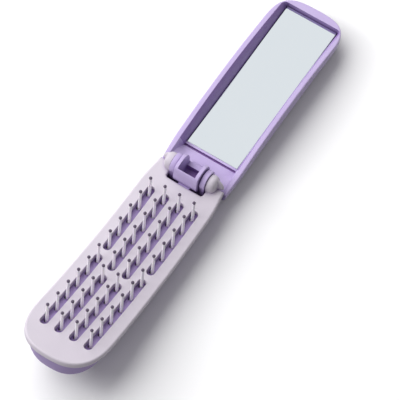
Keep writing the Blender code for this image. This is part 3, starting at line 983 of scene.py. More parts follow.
@dataclass
class CombHalf:
    """The comb half: bowed face plate with ears, bed, hollow shell and knuckles."""

    bow: Bow
    hinge: Vector
    finishes: Finishes
    length: float = 0.1109
    depth: float = 0.0146
    width_at_hinge: float = 0.0320
    width_at_waist: float = 0.0354
    width_at_end: float = 0.0376
    waist_at: float = 0.0150
    end_round: float = 0.0229
    end_power: float = 2.6
    plate_start: float = -0.0002
    plate_thickness: float = 0.0030
    plate_round: float = 0.0009
    overhang: float = 0.0009
    shell_wall: float = 0.0011
    shell_floor: float = 0.0014
    ledge: float = 0.0008
    shell_end: float = 0.00055
    shell_spare: float = 0.0006
    room_start: float = 0.0078
    tuck: float = 0.0088
    section: tuple[Flat, ...] = (
        (1.0, 1.0), (0.65, 0.93), (0.40, 0.80), (0.26, 0.58), (0.13, 0.30), (0.0, 0.0)
    )
    column_spacing: float = 0.00734
    first_tooth: float = 0.0168
    tooth_end_border: float = 0.0173
    group_gap: float = 0.00069
    first_groups: tuple[int, ...] = (5, 6, 6, 5)
    rows: int = 11
    slot_width: float = 0.0039
    slot_before: float = 0.0031
    slot_past: float = 0.0034
    second_slot_shift: float = 0.0012
    bed_under: float = 0.0032
    bed_thickness: float = 0.0012
    bed_hole: float = 0.00100
    bed_hole_shift: float = 0.0005
    bed_gap: float = 0.0003
    bed_round: float = 0.00012
    ear_inner: float = 0.0092
    ear_reach: float = 0.0037
    ear_radius: float = 0.0038
    ear_flank: float = 3.2
    ear_sink: float = 0.0004
    ear_tip: float = 0.0001
    skirt_reach: float = 0.0055
    skirt_width: float = 0.0017
    skirt_back: float = 0.0014
    skirt_height: float = 0.0058
    skirt_start: float = 0.0006
    skirt_tip: float = 0.03
    notch_front: float = 0.0065
    notch_corner: float = 0.0006
    pocket_under: float = 0.0022
    pocket_reach: float = 0.0040
    pocket_floor: float = 0.0028
    tongue_half: float = 0.0029
    tongue_reach: float = 0.0008
    barrel_room: float = 0.0071
    barrel_half: float = 0.0063
    knuckle_inner: float = 0.0064
    knuckle_outer: float = 0.0089
    knuckle_radius: float = 0.0046
    knuckle_rim: float = 0.00035
    knuckle_bore: float = 0.0012
    end_wall: float = 0.0013

    @property
    def pitch(self) -> float:
        """Distance between two teeth of a column."""
        first, last = self.first_tooth, self.length - self.tooth_end_border
        return (last - first - self.group_gap) / (self.rows - 1)

    @property
    def columns(self) -> list[tuple[float, int]]:
        """The x of every column of teeth, and how many teeth its first group has."""
        middle = (len(self.first_groups) - 1) / 2
        return [((i - middle) * self.column_spacing, n) for i, n in enumerate(self.first_groups)]

    def half_width(self, along: float) -> float:
        """Half the comb's width.

        Args:
            along: Distance from the hinge.

        Returns:
            Half the width there.
        """
        if along < self.waist_at:
            grown = math.sin(QUARTER * max(along, 0) / self.waist_at)
            return (self.width_at_hinge + (self.width_at_waist - self.width_at_hinge) * grown) / 2
        grown = (along - self.waist_at) / (self.length - self.end_round - self.waist_at)
        return (self.width_at_waist + (self.width_at_end - self.width_at_waist) * grown) / 2

    def side(self, inset: float, start: float) -> list[Flat]:
        """The +X side of the outline, as (x, along), from near the hinge to the tip.

        Args:
            inset: How far it is drawn in.
            start: Where it starts, from the hinge.

        Returns:
            The points.
        """
        last = self.length - self.end_round
        points = [(self.half_width(y) - inset, y) for y in spaced(start, last, 48)[:-1]]
        wide = self.half_width(last) - inset
        return points + blunt_end(wide, last, self.length - inset, self.end_power, 20)

    def drawn_side(self, inset: float, start: float) -> list[Flat]:
        """The closed outline of both sides as a sheet draws it, as (x, -along)."""
        return [(x, -along) for x, along in both_sides(self.side(inset, start))]

    def teeth(self) -> list[Flat]:
        """Places the teeth.

        Returns:
            (x, along) of every tooth's foot, column by column.
        """
        places = []
        for x, first_group in self.columns:
            for row in range(self.rows):
                gap = self.group_gap if row >= first_group else 0.0
                places.append((x, self.first_tooth + row * self.pitch + gap))
        return places

    def slots(self) -> list[list[Flat]]:
        """Places the slots, two to a column.

        Returns:
            Their outlines, as (x, -along).
        """
        outlines = []
        radius = self.slot_width / 2
        for x, first_group in self.columns:
            for first, last in ((0, first_group - 1), (first_group, self.rows - 1)):
                gap = self.group_gap + self.second_slot_shift if first else 0.0
                near = self.first_tooth + first * self.pitch + gap - self.slot_before + radius
                far = self.first_tooth + last * self.pitch + gap + self.slot_past - radius
                points = arc((x, -near), (radius, radius), 0.0, math.pi, 12)
                outlines.append(points + arc((x, -far), (radius, radius), math.pi, 2 * math.pi, 12))
        return outlines

    def plate_outline(self) -> list[Flat]:
        """The plate's outline with the notch for the barrel.

        Returns:
            The points, as (x, -along).
        """
        inner, front, corner = self.ear_inner, self.notch_front, self.notch_corner
        left = [(-inner, -self.plate_start), (-inner, corner - front), (corner - inner, -front)]
        outline = self.drawn_side(0.0, self.plate_start)
        return outline + left + [(-x, y) for x, y in reversed(left)]

    def build_plate(self) -> None:
        """The pale slotted plate and its two ears."""
        plate = BowedSheet(
            "comb_plate_face",
            self.bow,
            self.finishes.pale,
            0.0,
            self.plate_thickness,
            self.plate_round,
            self.plate_outline(),
            self.slots(),
        ).build()
        weigh_normals(plate)
        settle(plate, Body.COMB, Slot.PALE, "comb_plate")
        for word, side in SIDES.items():
            settle(self.ear(side, f"comb_plate_ear_{word}"), Body.COMB, Slot.PALE)

    def ear(self, side: int, name: str) -> Object:
        """One domed ear round the hinge, with a skirt that runs out to the plate's corner.

        Args:
            side: -1 for the left one and 1 for the right one.
            name: The piece's name.

        Returns:
            The object.
        """
        foot = self.bow.place(0.0, 0.0, 0.0).z - self.ear_sink
        dome = []
        for angle in spaced(0.0, QUARTER, 16):
            share = math.sin(angle)
            radius = max(1 - share**self.ear_flank, self.ear_tip) ** (1 / self.ear_flank)
            radius *= self.ear_radius
            over = arc((0.0, self.hinge.z), (radius, radius), 0.0, math.pi, 24)
            x = side * (self.ear_inner + self.ear_reach * share)
            dome.append(upright(x, self.hinge, [(radius, foot), *over, (-radius, foot)]))
        ear = piece(loft(dome), name, self.finishes.pale, 50)
        skirt = []
        for angle in spaced(0.0, QUARTER, 14):
            scale = max(math.cos(angle), self.skirt_tip)
            radii = (self.skirt_width * scale, self.skirt_height * scale)
            x = side * (self.ear_inner + self.skirt_start + self.skirt_reach * math.sin(angle))
            over = arc((self.skirt_back, foot), radii, 0.0, math.pi, 24)
            skirt.append(upright(x, self.hinge, over))
        carve(ear, loft(skirt), Carving.JOIN)
        set_sharp(ear, 50)
        return ear

    def build_bed(self) -> None:
        """The lilac bed with a clearance hole round every tooth's foot."""
        inset = self.overhang + self.shell_wall + self.bed_gap
        shift = self.bed_hole_shift
        bed = BowedSheet(
            "tooth_bed_plate",
            self.bow,
            self.finishes.lilac,
            -self.bed_under,
            self.bed_thickness,
            self.bed_round,
            self.drawn_side(inset, self.room_start + self.bed_gap),
            [circle((x - shift, -along), self.bed_hole, 16) for x, along in self.teeth()],
        ).build()
        weigh_normals(bed)
        settle(bed, Body.COMB, Slot.LILAC, "tooth_bed")

    def rings(self, steps: list[Flat], start: float, follow: bool) -> list[list[Point]]:
        """Bowed rings for (inset, height) steps.

        Args:
            steps: The section's steps.
            start: Where the rings start, from the hinge.
            follow: Whether the start is drawn in with the inset.

        Returns:
            The rings.
        """
        made = []
        for inset, height in steps:
            outline = both_sides(self.side(inset, start + (inset - steps[0][0]) * follow))
            made.append([tuple(self.bow.place(x, along, height)) for x, along in outline])
        return made

    def hollow_body(self) -> Object:
        """The shell before its cuts: the outside down to the floor, and back up inside.

        Returns:
            The object.
        """
        top = -self.plate_thickness - OVERLAP
        deep = self.depth + top
        section = smooth_steps([(self.tuck * x, y) for x, y in self.section], 4)
        outer = [(self.overhang + inset, top - deep * share) for inset, share in section]
        floor = -self.depth + self.shell_floor
        inset = self.overhang + self.shell_wall
        ledge_top = -self.bed_under - self.bed_thickness - OVERLAP
        inner = [(inset, top), (inset, ledge_top), (inset + self.ledge, ledge_top)]
        for step, share in reversed(section[:-5]):
            inner.append((inset + max(step, self.ledge), top - (top - floor) * share))
        rings = self.rings(outer, -self.shell_end - self.shell_spare, False)
        rings += self.rings(inner, self.room_start, True)
        # The shell wears the lilac painted darker as shade.
        return piece(loft(rings), "comb_shell_body", self.finishes.shell)

    def build_shell(self) -> None:
        """The lilac hollow back, its knuckles and the tongue."""
        shell = self.hollow_body()
        end = self.hinge.y + self.shell_end
        front = self.hinge.y - self.notch_front
        reach = self.barrel_half
        pocket = (-self.ear_inner, front - self.pocket_under, self.pocket_floor)
        for tool in (
            block((-FAR, -FAR, -FAR), (FAR, FAR, 0.0)),
            block((-FAR, end, -FAR), (FAR, FAR, FAR)),
            turned([(x, self.barrel_room) for x in (-reach, reach)], ROUND_SIDES, self.hinge),
            block(pocket, (self.ear_inner, front + self.pocket_reach, self.depth)),
        ):
            carve(shell, tool)
        drop_flaps(shell)
        set_sharp(shell, 30)
        weigh_normals(shell)
        settle(shell, Body.COMB, Slot.LILAC, "comb_shell")
        for word, side in SIDES.items():
            settle(self.knuckle(side, f"comb_shell_knuckle_{word}"), Body.COMB, Slot.LILAC)
        settle(self.tongue(), Body.COMB, Slot.LILAC)

    def tongue(self) -> Object:
        """The small tongue that bridges the notch in front of the barrel.

        Returns:
            The object.
        """
        ease = 2 * OVERLAP
        top = self.bow.place(0.0, self.notch_front, -ease).z
        front = self.hinge.y - self.notch_front
        low = (-self.tongue_half, front - 2 * ease, top - self.plate_thickness)
        bm = block(low, (self.tongue_half, front + self.tongue_reach, top))
        bmesh.ops.bevel(bm, geom=bm.edges[:], offset=ease, segments=2, affect="EDGES")
        return piece(bm, "comb_shell_tongue", self.finishes.lilac)

    def knuckle(self, side: int, name: str) -> Object:
        """One knuckle disc with rounded rims, on a foot that stands in the shell.

        Args:
            side: -1 for the left one and 1 for the right one.
            name: The piece's name.

        Returns:
            The object.
        """
        low, high, radius = self.knuckle_inner, self.knuckle_outer, self.knuckle_radius
        rim, sink = self.knuckle_rim, 2 * OVERLAP
        profile = [(low, self.knuckle_bore), (low, radius - rim)]
        profile += arc((low + rim, radius - rim), (rim, rim), math.pi, QUARTER, 5)
        profile += arc((high - rim, radius - rim), (rim, rim), QUARTER, 0.0, 5)
        profile += [(high, self.knuckle_bore)]
        disc = turned([(side * x, r) for x, r in profile], 72, self.hinge)
        knuckle = piece(disc, name, self.finishes.lilac)
        foot = self.bow.place(0.0, 0.0, -self.plate_thickness).z - self.end_wall
        left, right = sorted((side * (low + sink), side * (high - sink)))
        back = self.hinge.y + sink
        neck = block((left, back - radius, foot), (right, back, self.hinge.z))
        carve(knuckle, neck, Carving.JOIN)
        set_sharp(knuckle, 35)
        return knuckle

    def build(self) -> None:
        """Builds the whole comb half."""
        self.build_plate()
        self.build_bed()
        self.build_shell()


# Teeth


class TreeSheet(NodeSheet):
    """Lays out one geometry-node tree."""

    def __init__(self, name: str) -> None:
        """Starts an empty tree with a geometry input and output.

        Args:
            name: The tree's name.
        """
        super().__init__(bpy.data.node_groups.new(name, "GeometryNodeTree"))
        for way in ("INPUT", "OUTPUT"):
            self.tree.interface.new_socket("Geometry", in_out=way, socket_type="NodeSocketGeometry")
        self.start = self.node("NodeGroupInput")
        self.end = self.node("NodeGroupOutput")

    def size(self, name: str, value: float) -> Socket:
        """Adds a named input and returns its socket inside the tree.

        Args:
            name: The input's name.
            value: Its default.

        Returns:
            The socket.
        """
        made = self.tree.interface.new_socket(name, in_out="INPUT", socket_type="NodeSocketFloat")
        made.default_value = value
        return self.start.outputs[name]

    def bake(self, base: Object, last: Socket, sizes: dict[str, float]) -> None:
        """Runs the tree on an object and keeps the result as its plain mesh.

        Args:
            base: The object that the tree runs on.
            last: The socket with the finished geometry.
            sizes: Values for the named inputs.
        """
        self.tree.links.new(last, self.end.inputs[0])
        modifier = base.modifiers.new("tree", "NODES")
        modifier.node_group = self.tree
        for item in self.tree.interface.items_tree:
            if item.in_out == "INPUT" and item.name in sizes:
                modifier[item.identifier] = sizes[item.name]
        keep_result(base, modifier)


@dataclass
class ToothCarrier:
    """The carrier with its four columns of ball-tipped teeth."""

    comb: CombHalf
    finishes: Finishes
    thickness: float = 0.0012
    under_bed: float = 0.0001
    border: float = 0.00095
    end_border: float = 0.0030
    rounding: float = 0.0002
    height: float = 0.0138
    root_radius: float = 0.00075
    neck_radius: float = 0.00062
    ball_radius: float = 0.00076

    @property
    def top(self) -> float:
        """Height of the carrier's top over the face."""
        return -self.comb.bed_under - self.comb.bed_thickness - self.under_bed

    @property
    def drop(self) -> float:
        """Height of the teeth's feet over the bed's top."""
        return self.top - self.thickness / 2 + self.comb.bed_under

    @property
    def tilt(self) -> float:
        """The teeth's shared lean."""
        places = [along for _, along in self.comb.teeth()]
        return self.comb.bow.slope((min(places) + max(places)) / 2)

    def build(self) -> None:
        """Builds the carrier and its teeth."""
        teeth = self.tooth_rows()
        half = self.comb.columns[-1][0] + self.root_radius + self.border
        near = self.comb.first_tooth - self.end_border
        far = max(along for _, along in self.comb.teeth()) + self.end_border
        corner = self.end_border / 2
        right = []
        for centre, start in ((corner - far, -QUARTER), (-near - corner, 0.0)):
            middle = (half - corner, centre)
            right += arc(middle, (corner, corner), start, start + QUARTER, 4)
        # The carrier wears the dark tip finish: painted shade that shows through the bed's holes.
        plate = BowedSheet(
            "tooth_carrier_plate",
            self.comb.bow,
            self.finishes.tip,
            self.top,
            self.thickness,
            self.rounding,
            both_sides(right),
        ).build()
        settle(plate, Body.COMB, Slot.TOOTH, "tooth_carrier")
        settle(teeth, Body.COMB, Slot.TOOTH)

    def feet(self) -> Object:
        """The points that the teeth stand on, inside the carrier.

        Returns:
            An object with a point for each.
        """
        lean = Vector((0, math.sin(self.tilt), math.cos(self.tilt)))
        under, drop = self.comb.bed_under, self.drop
        bow = self.comb.bow
        points = [bow.place(x, along, -under) + lean * drop for x, along in self.comb.teeth()]
        mesh = bpy.data.meshes.new("tooth_feet")
        mesh.from_pydata([tuple(point) for point in points], [], [])
        return placed("tooth_rows", mesh)

    def tooth(
        self, tree: TreeSheet, length: Socket, root: Socket, neck: Socket, ball: Socket
    ) -> Socket:
        """Lays out one tooth: a pale tapered shaft with a dark ball on top.

        Args:
            tree: The tree's sheet.
            length: The shaft's length.
            root: The shaft's radius at its foot.
            neck: The shaft's radius under the ball.
            ball: The ball's radius.

        Returns:
            The socket with the tooth, smooth shaded.
        """
        shaft = tree.node(
            "GeometryNodeMeshCone",
            {"fill_type": "NGON"},
            Vertices=14,
            Side_Segments=4,
            Radius_Top=neck,
            Radius_Bottom=root,
            Depth=length,
        )
        sphere = tree.node("GeometryNodeMeshUVSphere", Segments=14, Rings=9, Radius=ball)
        up = tree.node("ShaderNodeCombineXYZ", Z=length).outputs[0]
        raised = tree.node("GeometryNodeTransform", Geometry=sphere.outputs[0], Translation=up)
        parts = []
        for part, finish in ((raised, self.finishes.tip), (shaft, self.finishes.tooth)):
            solid = part.outputs[0]
            worn = tree.node("GeometryNodeSetMaterial", Geometry=solid, Material=finish)
            parts.append(worn.outputs[0])
        joined = tree.node("GeometryNodeJoinGeometry", Geometry=parts).outputs[0]
        return tree.node("GeometryNodeSetShadeSmooth", Geometry=joined).outputs[0]

    def tooth_rows(self) -> Object:
        """All the teeth, placed by a geometry-node tree on their feet.

        Returns:
            The object.
        """
        rows = self.feet()
        sizes = {
            "Shaft length": self.height - self.ball_radius - self.drop,
            "Root radius": self.root_radius,
            "Neck radius": self.neck_radius,
            "Ball radius": self.ball_radius,
            "Tilt": self.tilt,
        }
        tree = TreeSheet("tooth_row_tree")
        *parts, tilt = (tree.size(name, value) for name, value in sizes.items())
        back = tree.node("ShaderNodeMath", {"operation": "MULTIPLY"})
        tree.give(back, 0, tilt)
        tree.give(back, 1, -1.0)
        set_out = tree.node(
            "GeometryNodeInstanceOnPoints",
            Points=tree.start.outputs["Geometry"],
            Instance=self.tooth(tree, *parts),
            Rotation=tree.node("ShaderNodeCombineXYZ", X=back.outputs[0]).outputs[0],
        )
        real = tree.node("GeometryNodeRealizeInstances", Geometry=set_out.outputs[0])
        tree.bake(rows, real.outputs[0], sizes)
        rows.data.shade_smooth()
        set_sharp(rows, 60)
        return rows


# Mirror half


@dataclass
class MirrorHalf:
    """The mirror half: tray, barrel and glass."""

    bow: Bow
    hinge: Vector
    finishes: Finishes
    start: float = 0.0009
    length: float = 0.1010
    width: float = 0.0344
    width_at_hinge: float = 0.0328
    widens_over: float = 0.0150
    end_round: float = 0.0171
    end_power: float = 3.2
    floor: float = 0.0015
    section: tuple[Flat, ...] = (
        (0.0052, 1.0), (0.0034, 0.965), (0.0018, 0.86), (0.0007, 0.68), (0.0001, 0.45), (0.0, 0.14)
    )
    glass_under_hinge: float = 0.00933
    glass_start: float = 0.0157
    glass_width: float = 0.0254
    glass_length: float = 0.0808
    glass_thickness: float = 0.0015
    glass_ease: float = 0.00015
    pad_thickness: float = 0.0008
    rim_width: float = 0.0023
    rim_round: float = 0.0006
    rim_height: float = 0.011
    recess_gap: float = 0.0002
    end_gap: float = 0.0003
    groove: float = 0.0006
    shoulder_foot: float = 0.0021
    ledge: float = 0.0010
    groove_under: float = 0.0013
    lip_under: float = 0.0004
    lip_half: float = 0.0125
    shoulder_tuck: float = 0.0007
    shoulder_rises: tuple[Point, ...] = ((0.0125, 0.0020, 0.0016), (0.0145, 0.0011, 0.0020))
    scoop_under: float = 0.0080
    wall_foot: float = 0.0040
    wall_power: float = 2.2
    neck_reach: float = 0.0045
    neck_rise: float = 0.0048
    neck_half: float = 0.0046
    neck_fades: float = 0.0016
    barrel_radius: float = 0.0062
    barrel_shape: tuple[Flat, ...] = (
        (-0.0057, 0.0010), (-0.0053, 0.0034), (-0.0043, 0.0051), (-0.0022, 0.0060),
        (0.0012, 0.0060), (0.0035, 0.0048), (0.0048, 0.0026), (0.0052, 0.0), (0.0045, -0.0031),
        (0.0028, -0.0052), (0.0, -0.0061), (-0.0032, -0.0057), (-0.0054, -0.0039),
        (-0.0061, -0.0016), (-0.0057, 0.0010),
    )
    barrel_half: float = 0.0060
    barrel_ease: float = 0.0004
    hinge_rooms: tuple[Flat, ...] = ((0.0055, 0.0089), (0.0049, 0.0145))
    window_half: float = 0.0044
    window_front: float = 0.0043
    window_back: float = 0.0027
    window_depth: float = 0.0112
    window_back_under: float = 0.0082
    window_ease: float = 0.00055
    groove_half: float = 0.0132
    wall_edge: float = 0.0012
    recess_section: tuple[Flat, ...] = (
        (0.0, 0.0), (0.04, 0.12), (0.10, 0.30), (0.30, 0.58), (0.62, 0.82), (0.88, 0.95)
    )
    recess_lip: tuple[Flat, ...] = ((0.97, 0.985), (1.04, 1.0), (1.25, 1.04))

    @property
    def glass_top(self) -> float:
        """Height of the glass."""
        return self.hinge.z - self.glass_under_hinge

    @property
    def floor_z(self) -> float:
        """Height of the tray's floor."""
        return self.glass_top - self.glass_thickness - self.pad_thickness - 2 * OVERLAP

    @property
    def in_floor(self) -> float:
        """Height inside the tray's floor, where what stands on it begins."""
        return self.floor_z - self.floor * 0.8

    def half_width(self, along: float) -> float:
        """Half the case's width.

        Args:
            along: Distance from the hinge.

        Returns:
            Half the width there.
        """
        grown = math.sin(QUARTER * min(along / self.widens_over, 1))
        return (self.width_at_hinge + (self.width - self.width_at_hinge) * grown) / 2

    def outline(self, inset: float) -> list[Flat]:
        """The case's outline, as (x, from the hinge).

        Args:
            inset: How far it is drawn in.

        Returns:
            The points.
        """
        last, wide = self.length - self.end_round, self.width / 2 - inset
        side = [(self.half_width(y) - inset, y) for y in spaced(self.start, last, 60)[:-1]]
        side += blunt_end(wide, last, self.length - inset, self.end_power, 22)
        return both_sides(side)

    def recess(self, half_width: float) -> list[Flat]:
        """The recess's outline, as (x, from the hinge).

        Args:
            half_width: Half its width.

        Returns:
            The points.
        """
        blunt = half_width - self.glass_width / 2
        last = self.glass_start + self.glass_length + self.end_gap - blunt
        side = [(half_width, y) for y in spaced(self.start - CLEAR, last, 60)]
        side += arc((half_width - blunt, last), (blunt, blunt), 0.0, QUARTER, 6)[1:]
        return both_sides(side)

    def under_rim(self, outline: list[Flat], level: float, share: float) -> list[Point]:
        """A ring at a share of the way from the rim's height to a level.

        Args:
            outline: The ring's outline, as (x, from the hinge).
            level: The height that a share of 1 reaches.
            share: The share.

        Returns:
            The ring.
        """
        ring = []
        for x, y in outline:
            top = self.bow.rim_z(y)
            ring.append((x, self.hinge.y + y, top + share * (level - top)))
        return ring

    def tray(self) -> Object:
        """The solid case with its rounded rim.

        Returns:
            The object.
        """
        rim, share = self.rim_round, self.rim_round / self.rim_height
        section = smooth_steps(list(self.section), 4)
        section += arc((rim, share), (-rim, -share), 0.0, QUARTER, 5)[1:]
        back = self.floor_z - self.floor
        rings = [self.under_rim(self.outline(inset), back, share) for inset, share in section]
        return piece(loft(rings), "mirror_case_tray", self.finishes.lilac)

    def hollow(self, case: Object, foot: float) -> None:
        """Cuts the glass's recess, and the groove at its near end.

        Args:
            case: The case.
            foot: Half the recess's width at its floor.
        """
        wide = self.width / 2 - self.rim_width
        levels = smooth_steps(list(self.recess_section), 3) + list(self.recess_lip)
        rings = []
        for share, level in levels:
            outline = self.recess(foot + (wide - foot) * share)
            rings.append(self.under_rim(outline, self.floor_z, 1 - level))
        carve(case, loft(rings))
        end = self.hinge.y + self.glass_start - 3 * OVERLAP
        low = (-foot, end - 10 * self.groove, self.floor_z - self.groove)
        carve(case, block(low, (foot, end, self.floor_z + self.groove)))

    def join_shoulder(self, case: Object, foot: float) -> None:
        """Joins on the shoulder, the ledge at the glass and the groove's floor between them.

        Args:
            case: The case.
            foot: Half the recess's width at its floor.
        """
        carve(case, self.shoulder(), Carving.JOIN)
        lap = 2 * OVERLAP
        near = self.hinge.y + self.glass_start - OVERLAP
        ledge = near - self.ledge
        for start, end, top in (
            (ledge, near, self.glass_top - OVERLAP),
            (near - self.shoulder_foot - lap, ledge + lap, self.glass_top - self.groove_under),
        ):
            low = (-foot - lap, start, self.in_floor)
            carve(case, block(low, (foot + lap, end, top)), Carving.JOIN)

    def clear_hinge(self, case: Object) -> None:
        """Cuts the room for the knuckles and the ears on both sides of the barrel.

        Args:
            case: The case.
        """
        for side in (-1, 1):
            step = self.barrel_half - OVERLAP
            for radius, reach in self.hinge_rooms:
                ends = sorted((side * step, side * (reach + OVERLAP)))
                carve(case, turned([(x, radius) for x in ends], ROUND_SIDES, self.hinge))
                step = reach - OVERLAP

    def build_case(self) -> None:
        """The lilac tray with rim, shoulder, barrel and window."""
        case = self.tray()
        foot = self.glass_width / 2 + self.recess_gap
        self.hollow(case, foot)
        self.join_shoulder(case, foot)
        self.clear_hinge(case)
        carve(case, self.barrel(), Carving.JOIN)
        carve(case, self.window())
        case = self.ease_window(case)
        # Painted shade in the window, the groove and on the inner walls.
        self.shade(case)
        set_sharp(case, 30)
        weigh_normals(case)
        settle(case, Body.MIRROR, Slot.LILAC, "mirror_case")

    def shoulder_outline(self, x: float, half: float) -> list[Flat]:
        """The shoulder's outline at one x, as (from the hinge, height).

        Args:
            x: The distance from the middle.
            half: Half the shoulder's width.

        Returns:
            The points.
        """
        foot = self.glass_start - self.shoulder_foot
        lip = self.glass_top - self.lip_under
        scoop = self.hinge.z - self.scoop_under
        under = self.in_floor
        for start, over, rise in self.shoulder_rises:
            under += rise * eased((x - start) / over)
        neck_share = 1 - eased((x - self.neck_half) / self.neck_fades)
        outline = [(self.start, under), (foot, under)]
        for share in spaced(1.0, 0.0, 20):
            along = self.neck_reach + (foot - self.neck_reach) * share
            level = scoop + (lip - scoop) * share
            level += self.neck_rise * neck_share * (1 - eased(2.0 * share))
            inner = self.wall_foot + (self.lip_half - self.wall_foot) * share
            part = held((x - inner) / (half - inner)) ** self.wall_power
            side = self.bow.rim_z(along) - 2 * OVERLAP
            outline.append((along, level + (side - level) * part))
        return [*outline, (self.start, outline[-1][1])]

    def shoulder(self) -> BMesh:
        """The scooped shoulder between glass and barrel, with a neck up to the barrel.

        Returns:
            The closed bmesh.
        """
        half = self.width / 2 - self.rim_width + self.shoulder_tuck
        right = {half * math.sin(angle) for angle in spaced(0.0, QUARTER, 32)}
        neck, fades = self.neck_half, self.neck_fades
        right |= {neck + fades * (share - 0.02) for share in spaced(0.0, 1.0, 12)}
        across = sorted(right | {-x for x in right})
        return tube([upright(x, self.hinge, self.shoulder_outline(abs(x), half)) for x in across])

    def barrel(self) -> BMesh:
        """The barrel, rounder below than above, with eased ends.

        Returns:
            The closed bmesh.
        """
        outline = smooth_steps(list(self.barrel_shape), 5)[:-1]
        half, ease = self.barrel_half, self.barrel_ease
        left = [(-half, ease), (-half + ease * 0.3, ease * 0.3), (-half + ease, 0.0)]
        rings = []
        for x, drop in left + [(-x, drop) for x, drop in reversed(left)]:
            scale = 1 - drop / self.barrel_radius
            shrunk = [(y * scale, self.hinge.z + z * scale) for y, z in outline]
            rings.append(upright(x, self.hinge, shrunk))
        return tube(rings)

    def window(self) -> BMesh:
        """The tool that cuts the square window into the barrel.

        Returns:
            The closed bmesh.
        """
        top = self.hinge.z + self.barrel_radius
        floor, back = top - self.window_depth, top - self.window_back_under
        far, over = self.barrel_radius + CLEAR, top + CLEAR
        near, step, half = -self.window_front, self.window_back, self.window_half
        outline = [(near, floor), (step, floor), (step, back), (far, back), (far, over)]
        outline.append((near, over))
        return tube([upright(x, self.hinge, outline) for x in (-half, half)])

    def ease_window(self, case: Object) -> Object:
        """Rounds the window's upper edges.

        Args:
            case: The cut tray, which is removed.

        Returns:
            The same tray with eased edges.
        """
        bm = opened(case.data)
        half, front = self.window_half, self.hinge.y - self.window_front
        close = 0.00002
        edges = []
        for edge in bm.edges:
            ends = [vertex.co for vertex in edge.verts]
            if edge.calc_face_angle(0.0) < math.radians(25):
                continue
            high = all(end.z > self.hinge.z + 5 * OVERLAP for end in ends)
            side = all(abs(abs(end.x) - half) < close for end in ends)
            near = all(abs(end.y - front) < close and abs(end.x) < half + close for end in ends)
            if high and (side or near):
                edges.append(edge)
        bmesh.ops.bevel(
            bm, geom=edges, offset=self.window_ease, segments=3, affect="EDGES", clamp_overlap=True
        )
        name = case.name
        bpy.data.objects.remove(case)
        return piece(bm, name, self.finishes.lilac)

    def finish_at(self, centre: Vector, normal: Vector) -> TrayFinish:
        """Tells which finish a face of the tray has.

        Args:
            centre: The face's centre.
            normal: Its normal.

        Returns:
            The deep painted shade in the window and the groove, the darker painted wall shade on
            the inner walls round the glass, and plain elsewhere.
        """
        across, y, z = abs(centre.x), centre.y - self.hinge.y, centre.z
        to_glass = self.glass_start - y
        window = (
            across < self.window_half + OVERLAP
            and -self.window_front - OVERLAP < y < self.window_back + OVERLAP
            and z < self.hinge.z - OVERLAP
            and normal.z > -0.1
        )
        end_face = normal.y < -0.9 and abs(y - self.start) < 2 * OVERLAP
        groove = (
            across < self.groove_half
            and self.ledge - OVERLAP < to_glass < self.shoulder_foot + OVERLAP
            and self.floor_z - self.groove < z < self.glass_top - self.lip_under - 2 * OVERLAP
        )
        if (window and not end_face) or groove:
            return TrayFinish.DEEP_SHADE
        inside = across < self.width / 2 - self.wall_edge and z > self.floor_z
        sideways = normal.x * centre.x < 0 and abs(normal.x) > 0.5
        faces_in = sideways or normal.y < -0.5
        on_wall = to_glass < self.shoulder_foot and inside and faces_in
        return TrayFinish.WALL if on_wall else TrayFinish.PLAIN

    def shade(self, case: Object) -> None:
        """Paints shade onto the tray's window, groove and inner walls with the deep and wall
        finishes.

        Args:
            case: The tray.
        """
        # The deep and wall finishes are painted shade.
        case.data.materials.append(self.finishes.deep)
        case.data.materials.append(self.finishes.wall_shade)
        for polygon in case.data.polygons:
            polygon.material_index = self.finish_at(polygon.center, polygon.normal)

    def build_glass(self) -> None:
        """The mirror, with a ground edge all round."""
        start = self.hinge.y + self.glass_start
        low = (-self.glass_width / 2, start, self.glass_top - self.glass_thickness)
        high = (-low[0], low[1] + self.glass_length, self.glass_top)
        bm = block(low, high)
        ease = self.glass_ease
        bmesh.ops.bevel(bm, geom=bm.edges[:], offset=ease, segments=2, affect="EDGES")
        glass = piece(bm, "mirror_glass_sheet", self.finishes.edge, 20)
        glass.data.materials.append(self.finishes.mirror)
        for polygon in glass.data.polygons:
            if polygon.normal.z > 0.99:
                polygon.material_index = 1
        settle(glass, Body.MIRROR, Slot.MIRROR, "mirror_glass")

    def build(self) -> None:
        """Builds the whole mirror half."""
        self.build_case()
        self.build_glass()


# Studio


